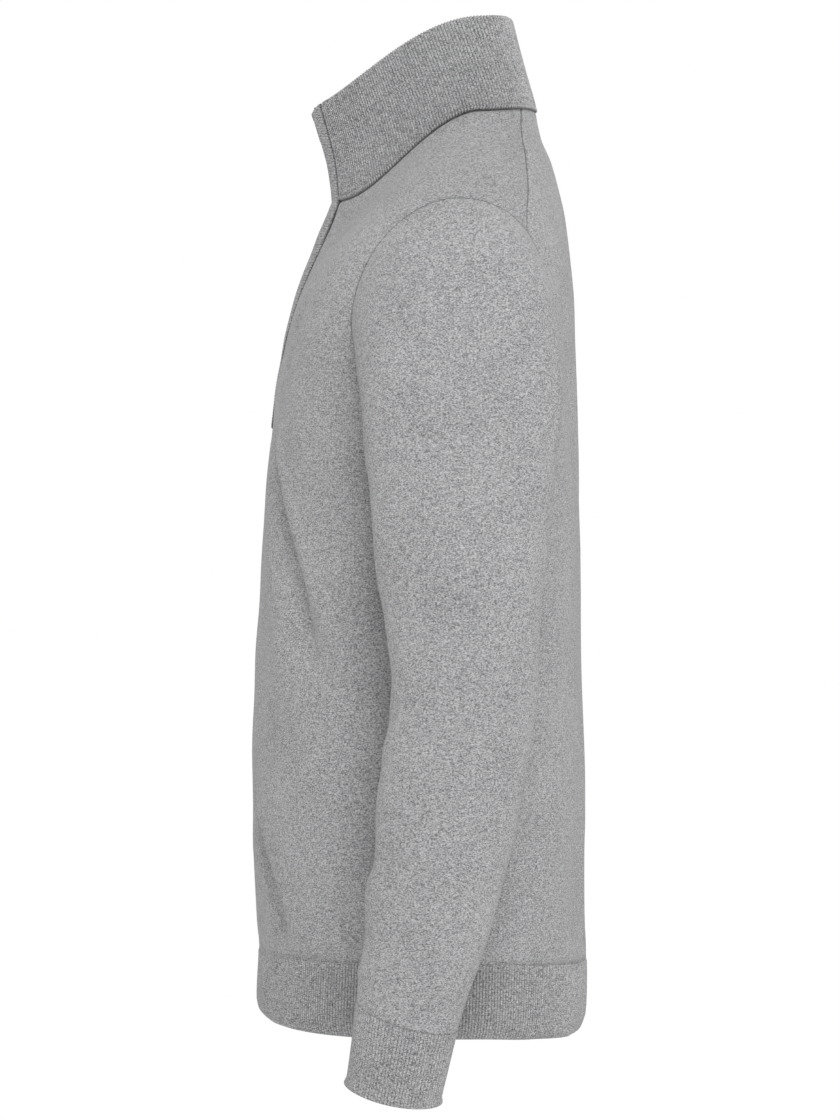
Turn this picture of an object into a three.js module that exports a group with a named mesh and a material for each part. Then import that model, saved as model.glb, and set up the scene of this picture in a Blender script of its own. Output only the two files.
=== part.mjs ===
// A quarter-zip sweater of fine knit, filled out as when it is worn, with nobody in it.
// Millimetres: +Z is up, -Y is the front, and +X is the wearer's left.
// The origin is midway between the two shoulder points, where the wearer's shoulders carry it.
// The body is a stack of rings. A place on it is an angle round it, from 0 at centre front
// to 90 degrees at the wearer's left and 180 at centre back, and a level, from the hem up.
import * as THREE from "three";

// Driving sizes
const JERSEY = 2; // thickness of the plain knit
const RIB_KNIT = 2.2; // thickness of the ribbed knit, in the grooves
const COLLAR_KNIT = 3.4; // the collar is folded over, so it is double
const RIB_PITCH = 4;
const RIB_RELIEF = 0.5;
const SEAM = 0.3; // the gap between two pieces that are sewn together
const NECK_SEAM = 1; // from the panels' upper edge to the collar seam
const SIDE_SEAM = 0.08; // half of the gap at a side seam, in degrees
const HEM_TOP = 55; // level at which the hem rib ends
const UNDERARM = 425; // level of the lowest point of the armhole
const SHOULDER = 522; // level of its highest point
const NECK = 632; // level of the collar seam
const COLLAR_HEIGHT = 72;
const PLACKET_END = 436; // level of the lower end of the zip opening
const PLACKET_EDGE = 15.5; // from centre front to the seam of a placket strip
const PLACKET_MOUTH = 4.3; // from centre front to the free edge of a placket strip
const PLACKET_KNIT = 2.8;
const TAPE = 1; // thickness of the zip's woven tape
const SLIDER_HEIGHT = 64; // of the slider's middle above the collar seam, with the zip closed
const SLIDER_LENGTH = 9;
const SLIDER_BACK = -2.4; // the slider's layers, measured straight out from the ridge of the zip
const SLIDER_FLOOR = -1.3;
const SLIDER_TOP = 0.5;
const PULL_AXIS = -0.3;
const PULL_RISE = 2; // of the pull's axis above the slider's middle
const PULL_THICKNESS = 1;
const ZIP_GAP = 0.25; // from centre front to the edge of a tape
const PLACKET_LIFT = 0.4; // how far a strip stands proud of the front
const KEEL_REACH = 22; // how far from centre front the ridge along the zip dies away
const SHOULDER_SEAM_ANGLE = 135; // where the shoulder seam meets the collar, behind the ridge
const ARMHOLE_SEAM = 0.9; // from the panels' edge to the sleeve's edge
const MITRE = 2.8; // how far the sleeve's inner edge at the underarm is set back, in thicknesses
const ARMHOLE_FRONT = 30; // degrees that the armhole reaches forward of the side
const ARMHOLE_BACK = 40; // degrees that it reaches backward

const DEG = Math.PI / 180;
const KNIT = { color: 0x9b9b9b, roughness: 0.95, metalness: 0 };
const METAL = { color: 0x8a8c90, roughness: 0.35, metalness: 1 };

// Rings of the body, from the hem's lower edge to the collar seam. front, side and back are the
// ring's own points at those places; full squares its outline; sweep bends its climb to the side;
// keel is the slope of the ridge along the zip.
const BODY_RINGS = table(
  "level frontY frontZ sideX sideY sideZ backY backZ full sweep keel",
  [
    [0, -145, -593.5, 196, -26, -599.5, 92, -607, 0.035, 0, 0],
    [14, -147.5, -581.5, 198.5, -26, -586.5, 96.5, -593.5, 0.035, 0, 0],
    [55, -146.5, -545, 200, -25, -545, 98, -553, 0.035, 0, 0],
    [78, -148, -522, 204, -25, -522, 97, -528, 0.035, 0, 0],
    [140, -151, -462, 206, -25, -460, 97.5, -463, 0.035, 0, 0],
    [220, -151.5, -380, 205, -22, -380, 96, -381, 0.035, 0, 0],
    [300, -147.5, -300, 203, -18, -300, 94, -300, 0.035, 0, 0],
    [375, -143, -225, 203, -12, -225, 93, -225, 0.035, 0, 0],
    [425, -139.3, -175, 205, -8, -175, 91.8, -175, 0.035, 0, 0],
    [440, -136.6, -152, 214, -4, -140, 91, -138, 0.035, 0, 0],
    [460, -133.5, -126, 224, -1, -95, 89.3, -95, 0.035, 0, 0],
    [482, -130.3, -108, 229, 1, -55, 88.5, -62, 0.035, 0, 0.05],
    [502, -127.5, -90, 226, 2, -22, 86, -36, 0.035, 0.1, 0.16],
    [522, -124, -75, 215, 2, 0, 83.5, -14, 0.03, 0.2, 0.26],
    [542, -119.5, -58, 195, 3, 13, 81, 4, 0.03, 0.3, 0.38],
    [562, -114, -42, 165, 6, 28, 76.5, 24, 0.025, 0.45, 0.5],
    [582, -108, -27, 135, 9, 41, 71.5, 42, 0.02, 0.6, 0.6],
    [602, -102.5, -12, 105, 13, 54, 65.5, 56, 0.015, 0.75, 0.64],
    [618, -97.2, 0, 84, 17, 65, 62.3, 68, 0.01, 0.9, 0.5],
    [632, -92.5, 11.5, 68, 20, 76, 60.5, 79, 0.01, 1, 0.36],
  ],
);

// Rings of the collar, from its seam to its upper edge. Here level is the height along it.
const COLLAR_RINGS = table(
  "level frontY frontZ sideX sideY sideZ backY backZ full sweep keel",
  [
    [0, -92.5, 11.5, 68.5, 20, 76, 61, 79, 0.01, 1, 0.36],
    [12, -93.6, 23, 68, 20, 86, 58.5, 89, 0.01, 0.95, 0.4],
    [30, -96.6, 41, 66.5, 20, 103, 53.5, 106, 0.01, 0.8, 0.48],
    [50, -102.3, 61, 64.5, 20, 123, 48, 126, 0.01, 0.65, 0.52],
    [68, -107.8, 79, 63, 20, 142, 43.5, 144, 0.01, 0.55, 0.52],
    [72, -108.6, 83, 62.5, 20, 146, 42.3, 148, 0.01, 0.5, 0.5],
  ],
);

// Rings of the left sleeve and its cuff, fanning out from the armhole and then going down the arm.
// rise is how far the front of a ring stands above its middle.
const SLEEVE_RINGS = table(
  "level frontY backY rise outerX outerZ innerX innerZ",
  [
    [0, -71, 62, -4, 215, 0, 205, -175],
    [1, -70.5, 68, -2, 233, -13, 209, -182],
    [2, -69, 72, 0, 249, -35, 213, -190],
    [3, -66.5, 72.5, 0, 263, -66, 216, -201],
    [4, -63.5, 70.5, 0, 274, -106, 218.5, -215],
    [5, -60.5, 66, 0, 282, -153, 221, -234],
    [6, -57, 63, 1, 289, -206, 223, -260],
    [7, -52, 58.5, 2, 295, -261, 225, -292],
    [8, -46.5, 53.5, 3, 299.5, -312, 227, -327],
    [9, -41, 50.5, 4, 303, -353, 229, -363],
    [10, -49, 46.5, 6, 304.5, -398, 232, -408],
    [11, -54, 37.5, 8, 305, -442, 235.5, -454],
    [12, -58.5, 22.5, 9, 304.5, -493, 239, -500],
    [13, -65, 7.5, 9.5, 303, -547, 243, -544],
    [14, -69, -1.5, 9.5, 300.5, -583, 246, -567],
    [15, -72.3, -8, 8, 300.5, -611, 247, -595],
    [16, -76.2, -14, 6, 298, -637, 249.5, -622],
  ],
);
const CUFF_TOP = 14; // ring at which the sleeve ends and its cuff begins
const CUFF_END = 16;

// The largest soft folds. Each runs from one place to another as seen from the front or back,
// bowed sideways, and is a trough where depth is above 0 and a ridge where it is below.
const FRONT_FOLDS = table("fromX fromZ toX toZ bow width depth", [
  [60, -150, 184, -362, 14, 13, 5],
  [40, -175, 160, -375, 12, 22, -3],
  [34, -424, 158, -546, 16, 16, 5],
  [95, -420, 170, -500, 10, 24, -3],
  [-66, -160, -180, -340, -12, 14, 4.5],
  [-50, -205, -150, -372, -10, 22, -2.5],
  [-28, -440, -140, -548, -13, 15, 4.5],
  [-96, -410, -176, -492, -8, 24, -3],
]);
const BACK_FOLDS = table("fromX fromZ toX toZ bow width depth", [
  [150, -250, 176, -520, 8, 17, 3.5],
  [-146, -270, -172, -500, -6, 17, 3.5],
  [60, -400, 96, -545, 5, 22, 3],
  [-44, -420, -84, -545, -6, 22, 3],
]);
// Folds of a sleeve: where round it (0 outside, 90 in front), at which ring, how far they reach
// round it in degrees and along it in rings, and how much they climb on the way round.
const LEFT_SLEEVE_FOLDS = table("angle level spread width climb depth", [
  [95, 9.1, 60, 0.5, 0.5, 4],
  [60, 10.3, 50, 0.45, 0.8, 3],
  [270, 8.6, 50, 0.7, -0.6, 3],
  [95, 12.2, 60, 0.35, 0.5, 2.2],
]);
const RIGHT_SLEEVE_FOLDS = table("angle level spread width climb depth", [
  [90, 9.4, 62, 0.5, 0.4, 3.6],
  [65, 10.7, 45, 0.5, 0.7, 2.6],
  [265, 8.2, 55, 0.6, -0.5, 2.8],
  [100, 12.5, 50, 0.35, 0.6, 2.4],
]);

function table(columns, rows) {
  const names = columns.split(" ");
  return rows.map((row) => Object.fromEntries(names.map((name, i) => [name, row[i]])));
}

function mix(a, b, share) {
  return a + (b - a) * share;
}

function ease(share) {
  const t = Math.min(1, Math.max(0, share));
  return t * t * (3 - 2 * t);
}

// A column of a table at any level, on a smooth curve through its rows.
function smooth(rows, level, column) {
  const last = rows.length - 1;
  let i = 0;
  while (i < last - 1 && rows[i + 1].level <= level) i += 1;
  const slope = (k) => {
    const a = rows[Math.max(0, k - 1)];
    const b = rows[Math.min(last, k + 1)];
    return (b[column] - a[column]) / (b.level - a.level);
  };
  const span = rows[i + 1].level - rows[i].level;
  const t = Math.min(1, Math.max(0, (level - rows[i].level) / span));
  const [t2, t3] = [t * t, t * t * t];
  return (
    (2 * t3 - 3 * t2 + 1) * rows[i][column] +
    (t3 - 2 * t2 + t) * span * slope(i) +
    (3 * t2 - 2 * t3) * rows[i + 1][column] +
    (t3 - t2) * span * slope(i + 1)
  );
}

// A point of a ring of the body or collar.
function ringPoint(rings, angle, level) {
  const at = (column) => smooth(rings, level, column);
  const [c, s] = [Math.cos(angle * DEG), Math.sin(angle * DEG)];
  const full = at("full");
  const x = (at("sideX") * (s + full * Math.sin(3 * angle * DEG))) / (1 - full);
  const reach = Math.abs((c - full * Math.cos(3 * angle * DEG)) / (1 - full));
  const square = c * c;
  const climb = mix(square, square * (3 - 2 * Math.abs(c)), at("sweep"));
  const front = c > 0;
  const y = mix(at("sideY"), at(front ? "frontY" : "backY"), reach);
  const z = mix(at("sideZ"), at(front ? "frontZ" : "backZ"), climb);
  const beside = Math.max(0, Math.abs(x) - PLACKET_MOUTH);
  const keel = front ? at("keel") * KEEL_REACH * (1 - Math.exp(-beside / KEEL_REACH)) : 0;
  return new THREE.Vector3(x, y + keel * square, z);
}

// The outward normal of a surface, given as a function of two numbers.
function normalOf(surface, a, b, stepA, stepB) {
  const alongA = surface(a + stepA, b).sub(surface(a - stepA, b));
  const alongB = surface(a, b + stepB).sub(surface(a, b - stepB));
  return alongA.cross(alongB).normalize();
}

// Beside the zip the normal is kept in the plane that runs straight back from it, so that the
// strips, the tapes and the pieces they are sewn to lie parallel.
function ringNormal(rings, angle, level) {
  const top = rings[rings.length - 1].level;
  const inside = Math.min(top - 1, Math.max(1, level));
  const normal = normalOf((a, b) => ringPoint(rings, a, b), angle, inside, 0.5, 1);
  const x = Math.abs(ringPoint(rings, angle, level).x);
  normal.x *= ease((x - PLACKET_EDGE - 1) / 20);
  return normal.normalize();
}

// How deep the folds of one side of the body are at a place seen from that side.
function foldDepth(folds, x, z) {
  let depth = 0;
  for (const fold of folds) {
    const [dx, dz] = [fold.toX - fold.fromX, fold.toZ - fold.fromZ];
    const length = Math.hypot(dx, dz);
    const t = ((x - fold.fromX) * dx + (z - fold.fromZ) * dz) / length ** 2;
    const side = ((x - fold.fromX) * dz - (z - fold.fromZ) * dx) / length;
    const off = side - fold.bow * 4 * t * (1 - t) * Math.sign(dz);
    const fade = ease(t / 0.25) * ease((1 - t) / 0.25);
    depth += fold.depth * fade * Math.exp(-((off / fold.width) ** 2));
  }
  return depth;
}

function bodyPoint(angle, level, inward = 0) {
  const point = ringPoint(BODY_RINGS, angle, level);
  const folds = Math.cos(angle * DEG) > 0 ? FRONT_FOLDS : BACK_FOLDS;
  const calm = ease((level - HEM_TOP) / 20) * ease(Math.abs(Math.cos(angle * DEG)) / 0.3);
  const sunk = calm * foldDepth(folds, point.x, point.z);
  return point.addScaledVector(ringNormal(BODY_RINGS, angle, level), -sunk - inward);
}

function collarPoint(angle, level, inward = 0) {
  const point = ringPoint(COLLAR_RINGS, angle, level);
  return point.addScaledVector(ringNormal(COLLAR_RINGS, angle, level), -inward);
}

// The angle at which a ring is a given distance to the left of centre front.
function angleAt(rings, level, x) {
  let [low, high] = [0, 80];
  for (let i = 0; i < 30; i += 1) {
    const middle = (low + high) / 2;
    if (ringPoint(rings, middle, level).x < Math.abs(x)) low = middle;
    else high = middle;
  }
  return Math.sign(x) * low;
}

// The armhole as a closed curve on the body: 0 is the shoulder point, 90 the front of it,
// 180 the underarm and 270 the back of it. It is rounded above and pointed below.
function armhole(turn) {
  const [c, s] = [Math.cos(turn * DEG), Math.sin(turn * DEG)];
  const reach = Math.abs(s) ** (1 + 0.3 * (1 - c));
  const angle = s > 0 ? 90 - ARMHOLE_FRONT * reach : 90 + ARMHOLE_BACK * reach;
  return [angle, mix(UNDERARM, SHOULDER, (1 + c) / 2)];
}

function sleeveOval(turn, level) {
  const at = (column) => smooth(SLEEVE_RINGS, level, column);
  const [c, s] = [Math.cos(turn * DEG), Math.sin(turn * DEG)];
  return new THREE.Vector3(
    mix(at("innerX"), at("outerX"), (1 + c) / 2),
    mix(at("backY"), at("frontY"), (1 + s) / 2),
    mix(at("innerZ"), at("outerZ"), (1 + c) / 2) + at("rise") * s,
  );
}

// A point of the sleeve. Its first ring is the armhole itself, and what that differs from an
// oval dies away over the next few rings.
function sleeveForm(turn, level) {
  const [angle, bodyLevel] = armhole(turn);
  const off = ringPoint(BODY_RINGS, angle, bodyLevel).sub(sleeveOval(turn, 0));
  return sleeveOval(turn, level).addScaledVector(off, 1 - ease(level / 3.2));
}

// The edge of the sleeve that is sewn into the armhole, a seam's gap beyond the panel's edge.
// It is mitred where the sleeve folds down beside the body.
function armholeEdge(turn, inward) {
  const at = (t, depth = 0) => bodyPoint(...armhole(t), depth);
  const normal = at(turn).sub(at(turn, 1));
  const away = normal.cross(at(turn + 1).sub(at(turn - 1))).normalize();
  const mitre = (inward * MITRE * (1 - Math.cos(turn * DEG))) / 2;
  return at(turn, inward).addScaledVector(away, ARMHOLE_SEAM + mitre);
}

function sleevePoint(folds, turn, level, inward = 0) {
  const inside = Math.min(CUFF_END - 0.05, Math.max(0.05, level));
  const normal = normalOf(sleeveForm, turn, inside, -0.5, 0.05);
  let sunk = 0;
  for (const fold of folds) {
    const round = ((turn - fold.angle + 540) % 360) - 180;
    const off = (level - fold.level - (fold.climb * round) / 90) / fold.width;
    sunk += fold.depth * Math.exp(-(off ** 2) - (round / fold.spread) ** 2);
  }
  return sleeveForm(turn, level).addScaledVector(normal, -sunk - inward);
}

// A closed wall, built from numbered points. Rows go up, and columns go round to the left.
class Wall {
  constructor() {
    this.points = [];
    this.faces = [];
  }
  point(at) {
    this.points.push(at.x, at.y, at.z);
    return this.points.length / 3 - 1;
  }
  triangle(a, b, c) {
    this.faces.push(a, b, c);
  }
  // Four corners as two triangles, divided along the shorter diagonal.
  quad(a, b, c, d) {
    if (this.apart(a, c) > this.apart(b, d)) this.faces.push(b, c, d, b, d, a);
    else this.faces.push(a, b, c, a, c, d);
  }
  apart(a, b) {
    const [p, q] = [a, b].map((k) => new THREE.Vector3().fromArray(this.points, k * 3));
    return p.distanceTo(q);
  }
  geometry() {
    const made = new THREE.BufferGeometry();
    made.setAttribute("position", new THREE.Float32BufferAttribute(this.points, 3));
    made.setIndex(this.faces);
    made.computeVertexNormals();
    return made;
  }
}

// A wall over a grid of cells, closed along every edge of the cells that are kept.
function clothWall({ rows, columns, closed = false, outer, inner, keep = () => true }) {
  const wall = new Wall();
  const across = closed ? columns : columns + 1;
  const numbers = (at) =>
    Array.from({ length: rows + 1 }, (_, i) =>
      Array.from({ length: across }, (__, j) => wall.point(at(i, j))),
    );
  const [out, back] = [numbers(outer), numbers(inner)];
  const next = (j) => (j + 1) % (closed ? columns : columns + 2);
  const kept = (i, j) => {
    if (i < 0 || i >= rows) return false;
    if (!closed && (j < 0 || j >= columns)) return false;
    return keep(i, (j + columns) % columns);
  };
  for (let i = 0; i < rows; i += 1)
    for (let j = 0; j < columns; j += 1) {
      if (!kept(i, j)) continue;
      const [up, to] = [i + 1, next(j)];
      wall.quad(out[i][j], out[i][to], out[up][to], out[up][j]);
      wall.quad(back[i][j], back[up][j], back[up][to], back[i][to]);
      if (!kept(i - 1, j)) wall.quad(out[i][to], out[i][j], back[i][j], back[i][to]);
      if (!kept(up, j)) wall.quad(out[up][j], out[up][to], back[up][to], back[up][j]);
      if (!kept(i, j - 1)) wall.quad(out[i][j], out[up][j], back[up][j], back[i][j]);
      if (!kept(i, j + 1)) wall.quad(out[up][to], out[i][to], back[i][to], back[up][to]);
    }
  return compact(wall).geometry();
}

// The same wall without the points that no face uses.
function compact(wall) {
  const made = new Wall();
  const number = new Map();
  for (const old of wall.faces) {
    if (!number.has(old)) {
      number.set(old, made.points.length / 3);
      made.points.push(...wall.points.slice(old * 3, old * 3 + 3));
    }
    made.faces.push(number.get(old));
  }
  return made;
}

// A ribbed wall: every other outer column is raised, and the plain inside has one column
// for each stride of the outside.
function ribbedWall({ rows, columns, stride, closed = false, outer, inner }) {
  const wall = new Wall();
  const inside = columns / stride;
  const list = (length, make) => Array.from({ length }, (_, k) => make(k));
  const spare = closed ? 0 : 1; // an open wall has one more line of points than it has columns
  const out = list(rows + 1, (i) => list(columns + spare, (j) => wall.point(outer(i, j))));
  const back = list(rows + 1, (i) => list(inside + spare, (k) => wall.point(inner(i, k * stride))));
  const o = (i, j) => out[i][closed ? j % columns : j];
  const b = (i, k) => back[i][closed ? k % inside : k];
  for (let i = 0; i < rows; i += 1) {
    for (let j = 0; j < columns; j += 1) wall.quad(o(i, j), o(i, j + 1), o(i + 1, j + 1), o(i + 1, j));
    for (let k = 0; k < inside; k += 1) wall.quad(b(i, k), b(i + 1, k), b(i + 1, k + 1), b(i, k + 1));
    if (!closed) {
      wall.quad(o(i, 0), o(i + 1, 0), b(i + 1, 0), b(i, 0));
      wall.quad(o(i + 1, columns), o(i, columns), b(i, inside), b(i + 1, inside));
    }
  }
  for (let k = 0; k < inside; k += 1) {
    const [first, middle] = [k * stride, k * stride + stride / 2];
    for (let j = first; j < first + stride; j += 1) {
      const near = j < middle ? k : k + 1;
      wall.triangle(o(0, j + 1), o(0, j), b(0, near));
      wall.triangle(o(rows, j), o(rows, j + 1), b(rows, near));
    }
    wall.triangle(o(0, middle), b(0, k), b(0, k + 1));
    wall.triangle(o(rows, middle), b(rows, k + 1), b(rows, k));
  }
  return wall.geometry();
}

// Angles from one to another that are evenly spaced along a curve.
function evenAngles(curve, from, to, count) {
  const steps = 720;
  const lengths = [0];
  let last = curve(from);
  for (let i = 1; i <= steps; i += 1) {
    const point = curve(mix(from, to, i / steps));
    lengths.push(lengths[i - 1] + point.distanceTo(last));
    last = point;
  }
  const made = [];
  let i = 0;
  for (let k = 0; k <= count; k += 1) {
    const wanted = (lengths[steps] * k) / count;
    while (i < steps - 1 && lengths[i + 1] < wanted) i += 1;
    const share = (wanted - lengths[i]) / (lengths[i + 1] - lengths[i]);
    made.push(mix(from, to, (i + share) / steps));
  }
  return made;
}

// How many outer columns, two to a rib, go along a curve, as a whole number of strides.
function ribColumns(curve, from, to, stride) {
  let length = 0;
  const steps = 360;
  for (let i = 0; i < steps; i += 1)
    length += curve(mix(from, to, i / steps)).distanceTo(curve(mix(from, to, (i + 1) / steps)));
  return Math.round((2 * length) / RIB_PITCH / stride) * stride;
}

const INSIDE_STRIDE = 8;
const SLEEVE_SIDES = 20;
const LOW_ROWS = 9; // rows of a panel below the underarm
const SEAM_ROWS = 4; // rows of a panel along the shoulder seam
const BOW_START = 8; // rows above the underarm at which the front's rows begin to bow
const BOW_RAMP = 3; // and over how many rows they reach their full bow
const TURN = 360 / SLEEVE_SIDES;
const SEAM_TURN = -3 * TURN; // where the shoulder seam meets the armhole

// The rows of a half panel: where each starts on the centre line and ends on the panel's edge.
// The edge goes up the side seam, round the armhole and along the shoulder seam to the collar.
function panelRows({ centreAngle, armholeTurns, centreLevels }) {
  const side = centreAngle > 90 ? SIDE_SEAM : -SIDE_SEAM;
  const rows = [];
  for (let i = 0; i < LOW_ROWS; i += 1)
    rows.push({ edge: [90 + side, mix(HEM_TOP + SEAM, UNDERARM, i / LOW_ROWS)] });
  for (const turn of armholeTurns) rows.push({ edge: armhole(turn) });
  const from = armhole(SEAM_TURN);
  for (let i = 1; i <= SEAM_ROWS; i += 1) {
    const share = i / SEAM_ROWS;
    const angle = mix(from[0], SHOULDER_SEAM_ANGLE, share);
    rows.push({ edge: [angle, mix(from[1], NECK - NECK_SEAM, share)] });
  }
  rows.forEach((row, i) => {
    const low = mix(HEM_TOP + SEAM, centreLevels[0], i / LOW_ROWS);
    row.centre = i < LOW_ROWS ? low : centreLevels[i - LOW_ROWS];
    row.bow = 1 + ease((i - LOW_ROWS - BOW_START) / BOW_RAMP);
  });
  return rows;
}

function between(from, to, count) {
  return Array.from({ length: count }, (_, i) => mix(from, to, i / count));
}

const FRONT_TURNS = Array.from({ length: 14 }, (_, i) => 180 - TURN * i);
const BACK_TURNS = Array.from({ length: 8 }, (_, i) => 180 + TURN * i);
const PLACKET_LEVELS = [
  ...between(PLACKET_END, 584, 8),
  ...between(584, 612, 3),
  ...between(612, NECK - NECK_SEAM, 4),
  NECK - NECK_SEAM,
];
const FRONT_CENTRE = [...between(398, PLACKET_END, 2), ...PLACKET_LEVELS];
const BACK_CENTRE = [...between(405, 548, 7), ...between(548, NECK - NECK_SEAM, 4), NECK - NECK_SEAM];

function frontPanel() {
  const half = 9;
  const rows = panelRows({ centreAngle: 0, armholeTurns: FRONT_TURNS, centreLevels: FRONT_CENTRE });
  const columns = 2 * half + 2;
  const place = (i, j, inward) => {
    const row = rows[i];
    const k = Math.abs(j - half - 1);
    const sign = Math.sign(j - half - 1);
    const start = angleAt(BODY_RINGS, row.centre, PLACKET_EDGE + SEAM);
    if (k === 0) return bodyPoint(0, row.centre, inward);
    const share = (k - 1) / half;
    const angle = mix(start, row.edge[0], share);
    const level = mix(row.centre, row.edge[1], share ** row.bow);
    return bodyPoint(sign * angle, level, inward);
  };
  const opening = LOW_ROWS + 2; // the row at the lower end of the zip opening
  return trimmed({
    rows: rows.length - 1,
    columns,
    place,
    keep: (i, j) => i < opening || j < half || j > half + 1,
  });
}

function backPanel() {
  const half = 8;
  const rows = panelRows({ centreAngle: 180, armholeTurns: BACK_TURNS, centreLevels: BACK_CENTRE });
  const place = (i, j, inward) => {
    const row = rows[i];
    const share = Math.abs(j - half) / half;
    const angle = mix(180, row.edge[0], share);
    const level = mix(row.centre, row.edge[1], share);
    return bodyPoint(j <= half ? angle : 360 - angle, level, inward);
  };
  return trimmed({ rows: rows.length - 1, columns: 2 * half, place });
}

// A panel whose two side edges are drawn in by half a seam's gap.
function trimmed({ rows, columns, place, keep }) {
  const drawn = (inward) => (i, j) => {
    const at = place(i, j, inward);
    if (j !== 0 && j !== columns) return at;
    const next = place(i, j === 0 ? 1 : columns - 1, inward);
    return at.addScaledVector(next.sub(at).normalize(), 1.5 * SEAM);
  };
  return clothWall({ rows, columns, outer: drawn(0), inner: drawn(JERSEY), keep });
}

function sleeve(folds) {
  const rows = [0.7, 1.4, 2.2, 3.2, 4.2, 5.2, 6.2, 7.2, 8.1, 8.7, 9.3, 9.9, 10.7, 11.5, 12.3, 13.1];
  const levels = [0, ...rows, CUFF_TOP - 0.01];
  const at = (inward) => (i, j) =>
    i === 0 ? armholeEdge(-j * TURN, inward) : sleevePoint(folds, -j * TURN, levels[i], inward);
  return clothWall({
    rows: levels.length - 1,
    columns: SLEEVE_SIDES,
    closed: true,
    outer: at(0),
    inner: at(JERSEY),
  });
}

// A ribbed band over part of a form, with its ribs at their real pitch.
function ribbedBand({ point, ends, levels, knit, closed = false }) {
  const [from, to] = ends(levels[1]);
  const curve = (angle) => point(angle, levels[1], 0);
  const columns = ribColumns(curve, from, to, INSIDE_STRIDE);
  const shares = evenAngles(curve, from, to, columns).map((angle) => (angle - from) / (to - from));
  const place = (i, j, inward) => point(mix(...ends(levels[i]), shares[j]), levels[i], inward);
  const raised = (j) => (j % 2 ? 0 : -RIB_RELIEF);
  return ribbedWall({
    rows: levels.length - 1,
    columns,
    stride: INSIDE_STRIDE,
    closed,
    outer: (i, j) => place(i, j, raised(j)),
    inner: (i, j) => place(i, j, knit),
  });
}

function hemBand(from, to) {
  return ribbedBand({
    point: bodyPoint,
    ends: () => [from + SIDE_SEAM, to - SIDE_SEAM],
    levels: [0, HEM_TOP],
    knit: RIB_KNIT,
  });
}

function cuff() {
  return ribbedBand({
    point: (angle, level, inward) => sleevePoint([], -angle, level, inward),
    ends: () => [0, 360],
    levels: [CUFF_TOP, (CUFF_TOP + CUFF_END) / 2, CUFF_END],
    knit: RIB_KNIT,
    closed: true,
  });
}

function collar() {
  const start = (height) => angleAt(COLLAR_RINGS, height, PLACKET_EDGE + SEAM);
  return ribbedBand({
    point: collarPoint,
    ends: (height) => [start(height), 360 - start(height)],
    levels: COLLAR_LEVELS,
    knit: COLLAR_KNIT,
  });
}

// A point beside the zip, at a distance from centre front and a level that goes on up the collar.
function placketPoint(x, level, inward) {
  if (level <= NECK) return bodyPoint(angleAt(BODY_RINGS, level, x), level, inward);
  const height = level - NECK;
  return collarPoint(angleAt(COLLAR_RINGS, height, x), height, inward);
}

const COLLAR_LEVELS = [SEAM, COLLAR_HEIGHT / 2, COLLAR_HEIGHT];
const ZIP_LEVELS = [...PLACKET_LEVELS, ...COLLAR_LEVELS.map((height) => NECK + height)];

// A strip along the left of the zip: xs are the distances of its columns from centre front.
function zipStrip(xs, levels, depth, knit) {
  const at = (inward) => (i, j) => placketPoint(xs[j], levels[i], inward);
  return clothWall({
    rows: levels.length - 1,
    columns: xs.length - 1,
    outer: at(depth),
    inner: at(depth + knit),
  });
}

function placketStrip() {
  const levels = [PLACKET_END + SEAM, ...ZIP_LEVELS.slice(1)];
  return zipStrip([PLACKET_MOUTH, 8, 11.8, PLACKET_EDGE], levels, -PLACKET_LIFT, PLACKET_KNIT);
}

function zipTape() {
  const levels = [PLACKET_END + 2, ...ZIP_LEVELS.slice(1, -1), NECK + COLLAR_HEIGHT - 1];
  return zipStrip([ZIP_GAP, PLACKET_MOUTH, 8, 11.8], levels, PLACKET_KNIT - PLACKET_LIFT + SEAM, TAPE);
}

// An outline pushed out into a solid at the slider, where left, up and out are the zip's own
// directions: across it, up along it and straight out of it.
function atSlider(outline, depth, holes, place) {
  const points = (list) => list.map(([a, b]) => new THREE.Vector2(a, b));
  const shape = new THREE.Shape(points(outline));
  for (const hole of holes) shape.holes.push(new THREE.Path(points(hole)));
  const made = new THREE.ExtrudeGeometry(shape, { depth, bevelEnabled: false });
  const level = NECK + SLIDER_HEIGHT;
  const centre = placketPoint(0, level, 0);
  const up = placketPoint(0, level + 1, 0).sub(placketPoint(0, level - 1, 0)).normalize();
  const left = new THREE.Vector3(1, 0, 0);
  const out = new THREE.Vector3().crossVectors(left, up);
  return made.applyMatrix4(place({ centre, left, up, out }));
}

// The slider is a channel that runs up the zip, and its two walls hold the pull's upper end.
function slider() {
  const [wide, inner, outer] = [3.8, 1.9, 2.9];
  const channel = [
    [-wide, SLIDER_BACK],
    [wide, SLIDER_BACK],
    [wide, SLIDER_FLOOR],
    [outer, SLIDER_FLOOR],
    [outer, SLIDER_TOP],
    [inner, SLIDER_TOP],
    [inner, SLIDER_FLOOR],
    [-inner, SLIDER_FLOOR],
    [-inner, SLIDER_TOP],
    [-outer, SLIDER_TOP],
    [-outer, SLIDER_FLOOR],
    [-wide, SLIDER_FLOOR],
  ];
  const place = ({ centre, left, up, out }) =>
    new THREE.Matrix4()
      .makeBasis(left, out, up.clone().negate())
      .setPosition(centre.clone().addScaledVector(up, SLIDER_LENGTH / 2));
  return atSlider(channel, SLIDER_LENGTH, [], place);
}

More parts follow.
